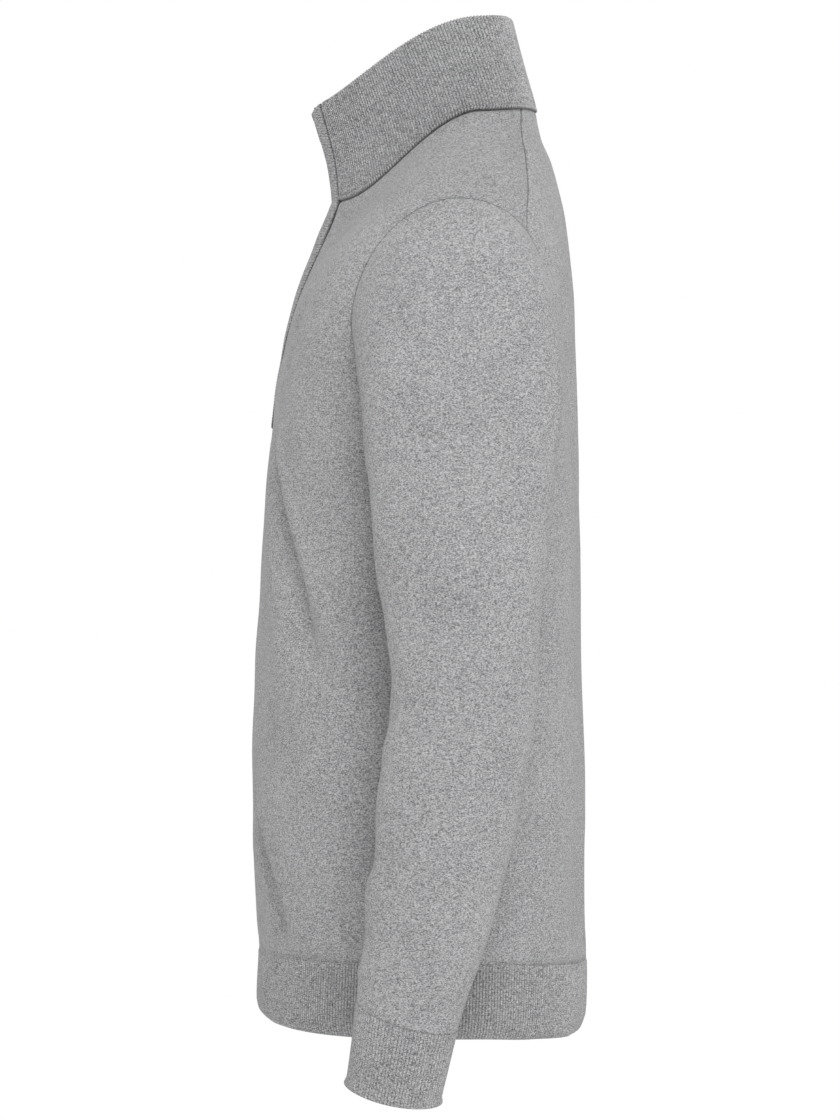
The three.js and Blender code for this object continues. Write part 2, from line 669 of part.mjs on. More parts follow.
// The pull is a flat tab with a slot. It turns about the middle of its upper end.
function pull() {
  const tab = [
    [-1.6, 0.5],
    [-1.6, -7],
    [-2.5, -9],
    [-2.5, -19.5],
    [-1.5, -21],
    [1.5, -21],
    [2.5, -19.5],
    [2.5, -9],
    [1.6, -7],
    [1.6, 0.5],
  ];
  const slot = [
    [-1, -11],
    [1, -11],
    [1, -18],
    [-1, -18],
  ];
  const place = ({ centre, left, up, out }) => {
    const back = centre.clone().addScaledVector(out, PULL_AXIS - PULL_THICKNESS / 2);
    return new THREE.Matrix4().makeBasis(left, up, out).setPosition(back.addScaledVector(up, PULL_RISE));
  };
  return atSlider(tab, PULL_THICKNESS, [slot], place);
}

function piece(name, geometry, mirrored = false, finish = KNIT) {
  const mesh = new THREE.Mesh(geometry, new THREE.MeshStandardMaterial(finish));
  mesh.name = name;
  if (mirrored) mesh.scale.x = -1;
  return mesh;
}

const sweater = new THREE.Group();
sweater.add(
  piece("front", frontPanel()),
  piece("back", backPanel()),
  piece("sleeve_left", sleeve(LEFT_SLEEVE_FOLDS)),
  piece("sleeve_right", sleeve(RIGHT_SLEEVE_FOLDS), true),
  piece("cuff_left", cuff()),
  piece("cuff_right", cuff(), true),
  piece("hem_front", hemBand(-90, 90)),
  piece("hem_back", hemBand(90, 270)),
  piece("collar", collar()),
  piece("placket_left", placketStrip()),
  piece("placket_right", placketStrip(), true),
  piece("zip_tape_left", zipTape()),
  piece("zip_tape_right", zipTape(), true),
  piece("zip_slider", slider(), false, METAL),
  piece("zip_pull", pull(), false, METAL),
);

export default sweater;
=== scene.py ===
# %% [markdown]
# # A quarter-zip sweater in heather-grey knit
#
# The garment is a real, hollow thing: two body panels, two sleeves, ribbed cuffs and hem, a double
# ribbed collar and a zip. Its construction model is loaded first, as a fixed frame that nothing may
# move or resize. Every piece below is laid on the same form, finer, and then stands for its plain solid.

import math

import bmesh
import bpy
import numpy as np
from mathutils import Matrix, Vector


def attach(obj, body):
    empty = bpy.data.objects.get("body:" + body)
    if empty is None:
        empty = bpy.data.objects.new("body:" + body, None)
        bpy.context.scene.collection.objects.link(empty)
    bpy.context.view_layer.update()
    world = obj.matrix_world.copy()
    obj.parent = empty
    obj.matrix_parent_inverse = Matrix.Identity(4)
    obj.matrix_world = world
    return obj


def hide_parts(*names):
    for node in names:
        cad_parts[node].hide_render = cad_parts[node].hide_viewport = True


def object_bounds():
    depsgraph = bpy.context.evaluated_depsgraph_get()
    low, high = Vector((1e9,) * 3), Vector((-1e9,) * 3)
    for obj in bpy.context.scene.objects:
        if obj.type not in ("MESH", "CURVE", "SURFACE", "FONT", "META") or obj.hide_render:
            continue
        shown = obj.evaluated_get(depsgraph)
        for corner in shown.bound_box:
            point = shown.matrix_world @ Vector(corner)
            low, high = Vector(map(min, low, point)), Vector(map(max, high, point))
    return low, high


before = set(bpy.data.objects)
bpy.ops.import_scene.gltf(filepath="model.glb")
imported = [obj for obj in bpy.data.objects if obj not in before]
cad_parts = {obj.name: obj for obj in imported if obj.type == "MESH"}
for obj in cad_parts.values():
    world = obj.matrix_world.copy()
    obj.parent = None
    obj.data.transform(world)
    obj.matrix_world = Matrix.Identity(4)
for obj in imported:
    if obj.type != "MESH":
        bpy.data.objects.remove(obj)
cad_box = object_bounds()
MM = 0.001

# %% [markdown]
# ## The camera
#
# The photograph is a pure side view, taken from far enough away that near and far parts keep nearly the
# same scale. A long lens at 4.2 m does that. The camera stands to the wearer's left and looks straight
# across the body.

# %% Set up the camera
CAMERA_DISTANCE = 4.2
PHOTO_HEIGHT = 0.84  # metres of the mid-plane that the picture's height takes in
SENSOR = 36.0
CAMERA_PLACE = (CAMERA_DISTANCE, -0.02625, -0.25625)

camera_data = bpy.data.cameras.new("camera")
camera_data.sensor_width = SENSOR
camera_data.lens = SENSOR * CAMERA_DISTANCE / PHOTO_HEIGHT
camera = bpy.data.objects.new("camera", camera_data)
camera.location = CAMERA_PLACE
camera.rotation_euler = (math.radians(90), 0, math.radians(90))
bpy.context.scene.collection.objects.link(camera)
bpy.context.scene.camera = camera
print("the lens is", round(camera_data.lens), "mm")

# %% [markdown]
# ## The form of the body
#
# A filled-out body is smooth, so a stack of rings says all of it. Each ring has a front, a side and a
# back point, and a place on the body is an angle round it and a level up it. Smooth curves through the
# rows of the tables give every place between them. These are the same rings as the frame's, in
# millimetres, so whatever is laid on them lies on the solids too.

# %% Tables of rings
HEM_TOP = 55.0  # level at which the hem's rib ends
UNDERARM = 425.0  # level of the lowest point of the armhole
SHOULDER = 522.0  # level of its highest point
NECK = 632.0  # level of the collar seam
COLLAR_HEIGHT = 72.0
ZIP_END = 436.0  # level of the lower end of the zip opening
BAND_EDGE = 15.5  # from centre front to the seam of a zip band
BAND_MOUTH = 4.3  # from centre front to its free edge


def table(columns, rows):
    return dict(zip(columns.split(), np.array(rows, float).T))


BODY_RINGS = table(
    "level frontY frontZ sideX sideY sideZ backY backZ full sweep keel",
    [
        [0, -145, -593.5, 196, -26, -599.5, 92, -607, 0.035, 0, 0],
        [14, -147.5, -581.5, 198.5, -26, -586.5, 96.5, -593.5, 0.035, 0, 0],
        [55, -146.5, -545, 200, -25, -545, 98, -553, 0.035, 0, 0],
        [78, -148, -522, 204, -25, -522, 97, -528, 0.035, 0, 0],
        [140, -151, -462, 206, -25, -460, 97.5, -463, 0.035, 0, 0],
        [220, -151.5, -380, 205, -22, -380, 96, -381, 0.035, 0, 0],
        [300, -147.5, -300, 203, -18, -300, 94, -300, 0.035, 0, 0],
        [375, -143, -225, 203, -12, -225, 93, -225, 0.035, 0, 0],
        [425, -139.3, -175, 205, -8, -175, 91.8, -175, 0.035, 0, 0],
        [440, -136.6, -152, 214, -4, -140, 91, -138, 0.035, 0, 0],
        [460, -133.5, -126, 224, -1, -95, 89.3, -95, 0.035, 0, 0],
        [482, -130.3, -108, 229, 1, -55, 88.5, -62, 0.035, 0, 0.05],
        [502, -127.5, -90, 226, 2, -22, 86, -36, 0.035, 0.1, 0.16],
        [522, -124, -75, 215, 2, 0, 83.5, -14, 0.03, 0.2, 0.26],
        [542, -119.5, -58, 195, 3, 13, 81, 4, 0.03, 0.3, 0.38],
        [562, -114, -42, 165, 6, 28, 76.5, 24, 0.025, 0.45, 0.5],
        [582, -108, -27, 135, 9, 41, 71.5, 42, 0.02, 0.6, 0.6],
        [602, -102.5, -12, 105, 13, 54, 65.5, 56, 0.015, 0.75, 0.64],
        [618, -97.2, 0, 84, 17, 65, 62.3, 68, 0.01, 0.9, 0.5],
        [632, -92.5, 11.5, 68, 20, 76, 60.5, 79, 0.01, 1, 0.36],
    ],
)
COLLAR_RINGS = table(
    "level frontY frontZ sideX sideY sideZ backY backZ full sweep keel",
    [
        [0, -92.5, 11.5, 68.5, 20, 76, 61, 79, 0.01, 1, 0.36],
        [12, -93.6, 23, 68, 20, 86, 58.5, 89, 0.01, 0.95, 0.4],
        [30, -96.6, 41, 66.5, 20, 103, 53.5, 106, 0.01, 0.8, 0.48],
        [50, -102.3, 61, 64.5, 20, 123, 48, 126, 0.01, 0.65, 0.52],
        [68, -107.8, 79, 63, 20, 142, 43.5, 144, 0.01, 0.55, 0.52],
        [72, -108.6, 83, 62.5, 20, 146, 42.3, 148, 0.01, 0.5, 0.5],
    ],
)
print("the body is", BODY_RINGS["level"][-1], "mm long up its middle")

# %% A smooth curve through a column of a table
def smooth(rows, level, column):
    x, y = rows["level"], rows[column]
    last = len(x) - 1
    before = np.maximum(np.arange(last + 1) - 1, 0)
    after = np.minimum(np.arange(last + 1) + 1, last)
    slope = (y[after] - y[before]) / (x[after] - x[before])
    i = np.clip(np.searchsorted(x, level, side="right") - 1, 0, last - 1)
    span = x[i + 1] - x[i]
    t = np.clip((level - x[i]) / span, 0, 1)
    hold = 2 * t**3 - 3 * t**2 + 1
    leave = (t**3 - 2 * t**2 + t) * span * slope[i]
    arrive = (t**3 - t**2) * span * slope[i + 1]
    return hold * y[i] + (1 - hold) * y[i + 1] + leave + arrive


def mix(a, b, share):
    return a + (b - a) * share


def ease(share):
    t = np.clip(share, 0, 1)
    return t * t * (3 - 2 * t)


# %% Points and normals of a ring
KEEL_REACH = 22.0  # how far from centre front the ridge along the zip dies away


def ring_point(rings, angle, level):
    angle, level = np.broadcast_arrays(np.asarray(angle, float), np.asarray(level, float))
    at = {name: smooth(rings, level, name) for name in rings}
    c, s = np.cos(np.radians(angle)), np.sin(np.radians(angle))
    full = at["full"]
    x = at["sideX"] * (s + full * np.sin(3 * np.radians(angle))) / (1 - full)
    reach = np.abs((c - full * np.cos(3 * np.radians(angle))) / (1 - full))
    climb = mix(c * c, c * c * (3 - 2 * np.abs(c)), at["sweep"])
    front = c > 0
    y = mix(at["sideY"], np.where(front, at["frontY"], at["backY"]), reach)
    z = mix(at["sideZ"], np.where(front, at["frontZ"], at["backZ"]), climb)
    beside = np.maximum(0, np.abs(x) - BAND_MOUTH)
    keel = np.where(front, at["keel"] * KEEL_REACH * (1 - np.exp(-beside / KEEL_REACH)), 0)
    return np.stack([x, y + keel * c * c, z], -1)


def unit(vectors):
    return vectors / np.maximum(np.linalg.norm(vectors, axis=-1, keepdims=True), 1e-12)


def normal_of(surface, a, b, step_a, step_b):
    along_a = surface(a + step_a, b) - surface(a - step_a, b)
    along_b = surface(a, b + step_b) - surface(a, b - step_b)
    return unit(np.cross(along_a, along_b))


def ring_normal(rings, angle, level):
    inside = np.clip(level, 1, rings["level"][-1] - 1)
    normal = normal_of(lambda a, b: ring_point(rings, a, b), angle, inside, 0.5, 1)
    x = np.abs(ring_point(rings, angle, level)[..., 0])
    normal[..., 0] *= ease((x - BAND_EDGE - 1) / 20)
    return unit(normal)


# %% The largest folds of the body
FOLD_COLUMNS = "fromX fromZ toX toZ bow width depth"
FRONT_FOLDS = [
    [60, -150, 184, -362, 14, 13, 5],
    [40, -175, 160, -375, 12, 22, -3],
    [34, -424, 158, -546, 16, 16, 5],
    [95, -420, 170, -500, 10, 24, -3],
    [-66, -160, -180, -340, -12, 14, 4.5],
    [-50, -205, -150, -372, -10, 22, -2.5],
    [-28, -440, -140, -548, -13, 15, 4.5],
    [-96, -410, -176, -492, -8, 24, -3],
]
BACK_FOLDS = [
    [150, -250, 176, -520, 8, 17, 3.5],
    [-146, -270, -172, -500, -6, 17, 3.5],
    [60, -400, 96, -545, 5, 22, 3],
    [-44, -420, -84, -545, -6, 22, 3],
]


def fold_depth(folds, x, z):
    depth = np.zeros_like(x)
    for from_x, from_z, to_x, to_z, bow, width, deep in folds:
        dx, dz = to_x - from_x, to_z - from_z
        length = math.hypot(dx, dz)
        t = ((x - from_x) * dx + (z - from_z) * dz) / length**2
        side = ((x - from_x) * dz - (z - from_z) * dx) / length
        off = side - bow * 4 * t * (1 - t) * math.copysign(1, dz)
        fade = ease(t / 0.25) * ease((1 - t) / 0.25)
        depth += deep * fade * np.exp(-((off / width) ** 2))
    return depth


def body_point(angle, level, inward=0.0, front_folds=FRONT_FOLDS, back_folds=BACK_FOLDS):
    angle, level = np.broadcast_arrays(np.asarray(angle, float), np.asarray(level, float))
    point = ring_point(BODY_RINGS, angle, level)
    c = np.cos(np.radians(angle))
    x, z = point[..., 0], point[..., 2]
    sunk = np.where(c > 0, fold_depth(front_folds, x, z), fold_depth(back_folds, x, z))
    sunk *= ease((level - HEM_TOP) / 20) * ease(np.abs(c) / 0.3)
    return point - ring_normal(BODY_RINGS, angle, level) * (sunk + inward)[..., None]


def collar_point(angle, level, inward=0.0):
    angle, level = np.broadcast_arrays(np.asarray(angle, float), np.asarray(level, float))
    away = np.broadcast_to(np.asarray(inward, float), level.shape)[..., None]
    return ring_point(COLLAR_RINGS, angle, level) - ring_normal(COLLAR_RINGS, angle, level) * away


def angle_at(rings, level, x):
    level, x = np.broadcast_arrays(np.asarray(level, float), np.asarray(x, float))
    low, high = np.zeros(level.shape), np.full(level.shape, 80.0)
    for _ in range(30):
        middle = (low + high) / 2
        short = ring_point(rings, middle, level)[..., 0] < np.abs(x)
        low, high = np.where(short, middle, low), np.where(short, high, middle)
    return np.sign(x) * low


chest = ring_point(BODY_RINGS, np.linspace(0, 360, 721), UNDERARM)
print("the chest measures", round(np.linalg.norm(np.diff(chest, axis=0), axis=1).sum()), "mm round")

# %% [markdown]
# ## The form of a sleeve
#
# A set-in sleeve starts as the armhole, a closed curve on the body, and soon becomes an oval that
# goes down the arm. So a sleeve is a table of ovals too, and its first ring is bent to the armhole.

# %% Tables and points of a sleeve
ARMHOLE_FRONT = 30.0  # degrees that the armhole reaches forward of the side
ARMHOLE_BACK = 40.0
CUFF_TOP = 14.0  # ring at which the sleeve ends and its cuff begins
CUFF_END = 16.0
SLEEVE_RINGS = table(
    "level frontY backY rise outerX outerZ innerX innerZ",
    [
        [0, -71, 62, -4, 215, 0, 205, -175],
        [1, -70.5, 68, -2, 233, -13, 209, -182],
        [2, -69, 72, 0, 249, -35, 213, -190],
        [3, -66.5, 72.5, 0, 263, -66, 216, -201],
        [4, -63.5, 70.5, 0, 274, -106, 218.5, -215],
        [5, -60.5, 66, 0, 282, -153, 221, -234],
        [6, -57, 63, 1, 289, -206, 223, -260],
        [7, -52, 58.5, 2, 295, -261, 225, -292],
        [8, -46.5, 53.5, 3, 299.5, -312, 227, -327],
        [9, -41, 50.5, 4, 303, -353, 229, -363],
        [10, -49, 46.5, 6, 304.5, -398, 232, -408],
        [11, -54, 37.5, 8, 305, -442, 235.5, -454],
        [12, -58.5, 22.5, 9, 304.5, -493, 239, -500],
        [13, -65, 7.5, 9.5, 303, -547, 243, -544],
        [14, -69, -1.5, 9.5, 300.5, -583, 246, -567],
        [15, -72.3, -8, 8, 300.5, -611, 247, -595],
        [16, -76.2, -14, 6, 298, -637, 249.5, -622],
    ],
)
# Folds of a sleeve: where round it (0 outside, 90 in front), at which ring, how far they reach
# round it in degrees and along it in rings, how much they climb on the way round, and how deep.
LEFT_SLEEVE_FOLDS = [
    [95, 9.1, 60, 0.5, 0.5, 4],
    [60, 10.3, 50, 0.45, 0.8, 3],
    [270, 8.6, 50, 0.7, -0.6, 3],
    [95, 12.2, 60, 0.35, 0.5, 2.2],
]
RIGHT_SLEEVE_FOLDS = [
    [90, 9.4, 62, 0.5, 0.4, 3.6],
    [65, 10.7, 45, 0.5, 0.7, 2.6],
    [265, 8.2, 55, 0.6, -0.5, 2.8],
    [100, 12.5, 50, 0.35, 0.6, 2.4],
]


def armhole(turn):
    c, s = np.cos(np.radians(turn)), np.sin(np.radians(turn))
    reach = np.abs(s) ** (1 + 0.3 * (1 - c))
    angle = np.where(s > 0, 90 - ARMHOLE_FRONT * reach, 90 + ARMHOLE_BACK * reach)
    return angle, mix(UNDERARM, SHOULDER, (1 + c) / 2)


def sleeve_oval(turn, level):
    at = {name: smooth(SLEEVE_RINGS, level, name) for name in SLEEVE_RINGS}
    c, s = np.cos(np.radians(turn)), np.sin(np.radians(turn))
    x = mix(at["innerX"], at["outerX"], (1 + c) / 2)
    y = mix(at["backY"], at["frontY"], (1 + s) / 2)
    z = mix(at["innerZ"], at["outerZ"], (1 + c) / 2) + at["rise"] * s
    return np.stack([x, y, z], -1)


def sleeve_form(turn, level):
    turn, level = np.broadcast_arrays(np.asarray(turn, float), np.asarray(level, float))
    off = body_point(*armhole(turn)) - sleeve_oval(turn, np.zeros_like(level))
    return sleeve_oval(turn, level) + off * (1 - ease(level / 3.2))[..., None]


def sleeve_point(turn, level, folds, inward=0.0):
    turn, level = np.broadcast_arrays(np.asarray(turn, float), np.asarray(level, float))
    inside = np.clip(level, 0.05, CUFF_END - 0.05)
    normal = normal_of(sleeve_form, turn, inside, -0.5, 0.05)
    sunk = np.zeros_like(level)
    for around, ring, spread, width, climb, depth in folds:
        away = (turn - around + 540) % 360 - 180
        off = (level - ring - climb * away / 90) / width
        sunk += depth * np.exp(-(off**2) - (away / spread) ** 2)
    return sleeve_form(turn, level) - normal * (sunk + inward)[..., None]


arm = sleeve_form(np.linspace(0, 360, 361), 6.0)
print("the upper arm measures", round(np.linalg.norm(np.diff(arm, axis=0), axis=1).sum()), "mm round")

# %% [markdown]
# ## From a form to a sheet of cloth
#
# Cloth is a sheet with a thickness. A flat grid is made with Blender's own grid operator, each of its
# points is moved to the place that the form gives it, and a Solidify modifier turns the sheet into a
# wall. The steps between are what makes it look like cloth: soft uneven swells, creases, and edges
# that turn in where they are sewn. The UV map is measured along the cloth in metres, so the knit
# keeps its true size everywhere.

# %% Helpers that work on a grid of points
def grid_normals(points, closed=False):
    if closed:  # the first and last columns are the same line, so they take each other's neighbours
        ring = np.concatenate([points[:, -2:-1], points, points[:, 1:2]], 1)
        along = (ring[:, 2:] - ring[:, :-2]) / 2
    else:
        along = np.gradient(points, axis=1)
    up = np.gradient(points, axis=0)
    return unit(np.cross(along, up))


def steps_along(points, axis):
    lengths = np.linalg.norm(np.diff(points, axis=axis), axis=2)
    pad = [(1, 0), (0, 0)] if axis == 0 else [(0, 0), (1, 0)]
    return np.cumsum(np.pad(lengths, pad), axis=axis)


def edge_distance(points, sides):
    """How far each point is, along the cloth, from the nearest of the named edges."""
    up, along = steps_along(points, 0), steps_along(points, 1)
    ways = {"bottom": up, "top": up[-1:] - up, "left": along, "right": along[:, -1:] - along}
    return np.minimum.reduce([ways[side] for side in sides])


def turned_in(points, sides, depth, width, closed=False):
    """The same points with the named edges rounded inwards, as at a seam."""
    away = edge_distance(points, sides)
    return points - grid_normals(points, closed) * (depth * np.exp(-((away / width) ** 1.5)))[..., None]


def swells(points, size, height, seed):
    """Soft uneven swells, as a sum of a few waves in different directions."""
    rng = np.random.default_rng(seed)
    total = np.zeros(points.shape[:-1])
    for _ in range(9):
        wave = unit(rng.normal(size=3)) * (2 * np.pi / (size * rng.uniform(0.6, 1.8)))
        total += np.sin(points @ wave + rng.uniform(0, 2 * np.pi))
    return total * height / 3


NEAR_EDGE = np.array([0, 0.45, 0.9, 1.5, 2.4])  # how far the first grid lines lie from a sewn edge
FIRST_EVEN = 4.0  # and where the evenly spaced ones begin


def shares_to_edge(length, count, from_edge=False):
    """Shares along rows of the given lengths: even in the middle, close together at a sewn edge."""
    length = np.asarray(length, float)[:, None]
    start = FIRST_EVEN / length if from_edge else 0 * length
    even = mix(start, 1 - FIRST_EVEN / length, np.linspace(0, 1, count)[None, :])
    last = 1 - NEAR_EDGE[None, ::-1] / length
    first = [NEAR_EDGE[None, :] / length] if from_edge else []
    return np.concatenate(first + [even, last], 1)


# %% Make a sheet from a grid of points
def uv_of(points, middle):
    along, up = steps_along(points, 1), steps_along(points, 0)
    return np.stack([along - along[:, middle : middle + 1], up], -1) * MM


def seam_shade(points, sides, width):
    """1 on the named sewn edges, fading to 0 over a width: the shade that lies in a seam."""
    return np.exp(-((edge_distance(points, sides) / width) ** 2))


def finished_mesh(name, bm):
    mesh = bpy.data.meshes.new(name)
    bm.to_mesh(mesh)
    bm.free()
    return mesh


def sheet_mesh(name, points, uv, keep=None, closed=False, thickness=0.0, relief=None, seam=None):
    """A grid laid on the points. With a relief it gets a plain inside first, and then its ribs outside."""
    rows, columns = points.shape[0] - 1, points.shape[1] - 1
    bm = bmesh.new()
    bmesh.ops.create_grid(bm, x_segments=columns, y_segments=rows, size=0.5)
    uv_layer = bm.loops.layers.uv.new("UVMap")
    # A point attribute that carries the painted shade along sewn edges.
    painted_seam_shade_layer = bm.verts.layers.float.new("seam")
    place = {v: (round((v.co.y + 0.5) * rows), round((v.co.x + 0.5) * columns)) for v in bm.verts}
    unwanted = []
    for face in bm.faces:
        face.smooth = True
        for loop in face.loops:
            loop[uv_layer].uv = uv[place[loop.vert]]
        if keep is not None:
            row, column = (min(place[v][k] for v in face.verts) for k in (0, 1))
            if not keep(row, column):
                unwanted.append(face)
    for v, (row, column) in place.items():
        v.co = points[row, column] * MM
        v[painted_seam_shade_layer] = 0 if seam is None else seam[row, column]
    if unwanted:
        bmesh.ops.delete(bm, geom=unwanted, context="FACES")
    if closed:
        bmesh.ops.remove_doubles(bm, verts=bm.verts, dist=1e-6)
    if relief is not None:
        bm.normal_update()
        bmesh.ops.solidify(bm, geom=bm.faces[:], thickness=thickness * MM)
        for v, (row, column) in place.items():
            if v.is_valid:
                v.co += Vector(relief[row, column]) * MM
        for face in bm.faces:
            face.smooth = True
    return finished_mesh(name, bm)


def add_object(name, mesh, finish):
    made = bpy.data.objects.new(name, mesh)
    made.data.materials.append(finish)
    bpy.context.scene.collection.objects.link(made)
    return made


def cloth(
    name, points, finish, thickness, middle=0, keep=None, closed=False, uv=None, relief=None, seam=None
):
    """A piece of cloth laid on a grid of points, with its wall, its ribs and the shade in its seams."""
    uv = uv_of(points, middle) if uv is None else uv
    mesh = sheet_mesh(name, points, uv, keep, closed, thickness, relief, seam)
    made = add_object(name, mesh, finish)
    if relief is None:
        wall = made.modifiers.new("wall", "SOLIDIFY")
        wall.thickness = thickness * MM
        wall.offset = -1
    area = sum(face.area for face in mesh.polygons) / (1 if relief is None else 2)
    print(name, "has", len(mesh.polygons), "cells and", round(area, 4), "square metres of cloth")
    return made

# %% [markdown]
# ## Materials
#
# The knit is a heather grey: each yarn is spun from pale and dark fibres, so the colour changes in short
# streaks along the yarn. Its surface is rows of small V-shaped stitches. One shader group draws the
# stitches as a height from the UV map, which is in metres, so the wales run up the cloth and turn with
# it. The height bumps the surface and also darkens the colour between the stitches, as painted shade.
# Another group draws the heather's colour in space, where nothing stretches it.

# %% Small helpers for materials
def node_group(name, inputs, outputs):
    group = bpy.data.node_groups.new(name, "ShaderNodeTree")
    for label, kind, value in inputs:
        socket = group.interface.new_socket(label, in_out="INPUT", socket_type=kind)
        if value is not None:
            socket.default_value = value
    for label, kind in outputs:
        group.interface.new_socket(label, in_out="OUTPUT", socket_type=kind)
    return group, group.nodes.new("NodeGroupInput"), group.nodes.new("NodeGroupOutput")


def feed(tree, value, socket):
    """Give a socket a plain value, or link another node's output to it."""
    if isinstance(value, (int, float, tuple)):
        socket.default_value = value
    elif value is not None:
        tree.links.new(value, socket)


def math_node(tree, operation, first, second=None, third=None):
    node = tree.nodes.new("ShaderNodeMath")
    node.operation = operation
    for socket, value in zip(node.inputs, (first, second, third)):
        feed(tree, value, socket)
    return node.outputs[0]


def mixed_colour(tree, share, low, high, way="MIX"):
    node = tree.nodes.new("ShaderNodeMix")
    node.data_type = "RGBA"
    node.blend_type = way
    for index, value in ((0, share), (6, low), (7, high)):  # the sockets Factor, A and B of a colour mix
        feed(tree, value, node.inputs[index])
    return node.outputs[2]


def new_material(name):
    material = bpy.data.materials.new(name)
    material.use_nodes = True
    return material, material.node_tree, material.node_tree.nodes["Principled BSDF"]


def cloth_distances(tree):
    """Distances across and up the cloth in metres, which the UV map holds."""
    uv = tree.nodes.new("ShaderNodeUVMap")
    uv.uv_map = "UVMap"
    split = tree.nodes.new("ShaderNodeSeparateXYZ")
    tree.links.new(uv.outputs["UV"], split.inputs[0])
    return split.outputs["X"], split.outputs["Y"]


def add_bump(tree, shader, height, strength=1.0):
    bump = tree.nodes.new("ShaderNodeBump")
    bump.inputs["Strength"].default_value = strength
    bump.inputs["Distance"].default_value = 1
    tree.links.new(height, bump.inputs["Height"])
    tree.links.new(bump.outputs["Normal"], shader.inputs["Normal"])


# %% The stitch group
def make_stitches():
    """The height of a plain knit, from 0 in its grooves to 1: two slanting legs to each wale."""
    group, given, made = node_group(
        "knit stitches",
        [("Across", "NodeSocketFloat", 0), ("Up", "NodeSocketFloat", 0), ("Slant", "NodeSocketFloat", 0.9)],
        [("Height", "NodeSocketFloat")],
    )
    across = math_node(group, "SUBTRACT", math_node(group, "FRACT", given.outputs["Across"]), 0.5)
    leg = math_node(group, "ABSOLUTE", across)
    from_middle = math_node(group, "ABSOLUTE", math_node(group, "SUBTRACT", leg, 0.25))
    fall = math_node(group, "POWER", math_node(group, "MULTIPLY", from_middle, 4), 2)
    profile = math_node(group, "SUBTRACT", 1, fall)
    slanted = math_node(group, "MULTIPLY", leg, given.outputs["Slant"])
    course = math_node(group, "ADD", given.outputs["Up"], slanted)
    phase = math_node(group, "MULTIPLY", course, 2 * math.pi)
    pulse = math_node(group, "MULTIPLY_ADD", math_node(group, "COSINE", phase), 0.3, 0.7)
    group.links.new(math_node(group, "MULTIPLY", profile, pulse), made.inputs["Height"])
    return group


STITCHES = make_stitches()


# %% The heather group
FIBRE_SCALE = 760  # noise cells to a metre, for single fibres
YARN_SCALE = 240  # for streaks along a yarn
CLOUD_SCALE = 22  # and for the soft change over a few centimetres


def make_heather():
    """Colour that mottles in short streaks along the yarn, with a softer change over a few centimetres."""
    group, given, made = node_group(
        "heather",
        [
            ("Place", "NodeSocketVector", None),
            ("Pale", "NodeSocketColor", (0.5, 0.5, 0.5, 1)),
            ("Dark", "NodeSocketColor", (0.1, 0.1, 0.1, 1)),
        ],
        [("Color", "NodeSocketColor"), ("Fibre", "NodeSocketFloat")],
    )

    def noise(scale, stretch, detail):
        squeezed = group.nodes.new("ShaderNodeVectorMath")
        squeezed.operation = "MULTIPLY"
        squeezed.inputs[1].default_value = (scale, scale, scale * stretch)
        group.links.new(given.outputs["Place"], squeezed.inputs[0])
        texture = group.nodes.new("ShaderNodeTexNoise")
        texture.inputs["Scale"].default_value = 1
        texture.inputs["Detail"].default_value = detail
        texture.inputs["Roughness"].default_value = 0.6
        group.links.new(squeezed.outputs[0], texture.inputs["Vector"])
        return texture.outputs["Fac"]

    fibre = noise(FIBRE_SCALE, 1.6, 3)
    yarn = noise(YARN_SCALE, 2.4, 2)
    cloud = noise(CLOUD_SCALE, 1.0, 2)
    near = math_node(group, "MULTIPLY_ADD", math_node(group, "SUBTRACT", fibre, 0.5), 3.0, 0.5)
    middle = math_node(group, "MULTIPLY_ADD", math_node(group, "SUBTRACT", yarn, 0.5), 0.8, near)
    share = math_node(group, "MULTIPLY_ADD", math_node(group, "SUBTRACT", cloud, 0.5), 0.22, middle)
    clamped = math_node(group, "MINIMUM", math_node(group, "MAXIMUM", share, 0), 1)
    colour = mixed_colour(group, clamped, given.outputs["Dark"], given.outputs["Pale"])
    group.links.new(colour, made.inputs["Color"])
    group.links.new(clamped, made.inputs["Fibre"])
    return group


HEATHER = make_heather()


# %% The knit materials
GREY_PALE = (0.55, 0.55, 0.56, 1)
GREY_DARK = (0.13, 0.13, 0.135, 1)
# Painted shade: seams get a thin darker line in the colour, standing for the shade in the seam's groove.
SEAM_SHADE = 0.5  # how much darker the knit is at the bottom of a seam
SEAM_LINE = 0.75  # and over what width, in millimetres


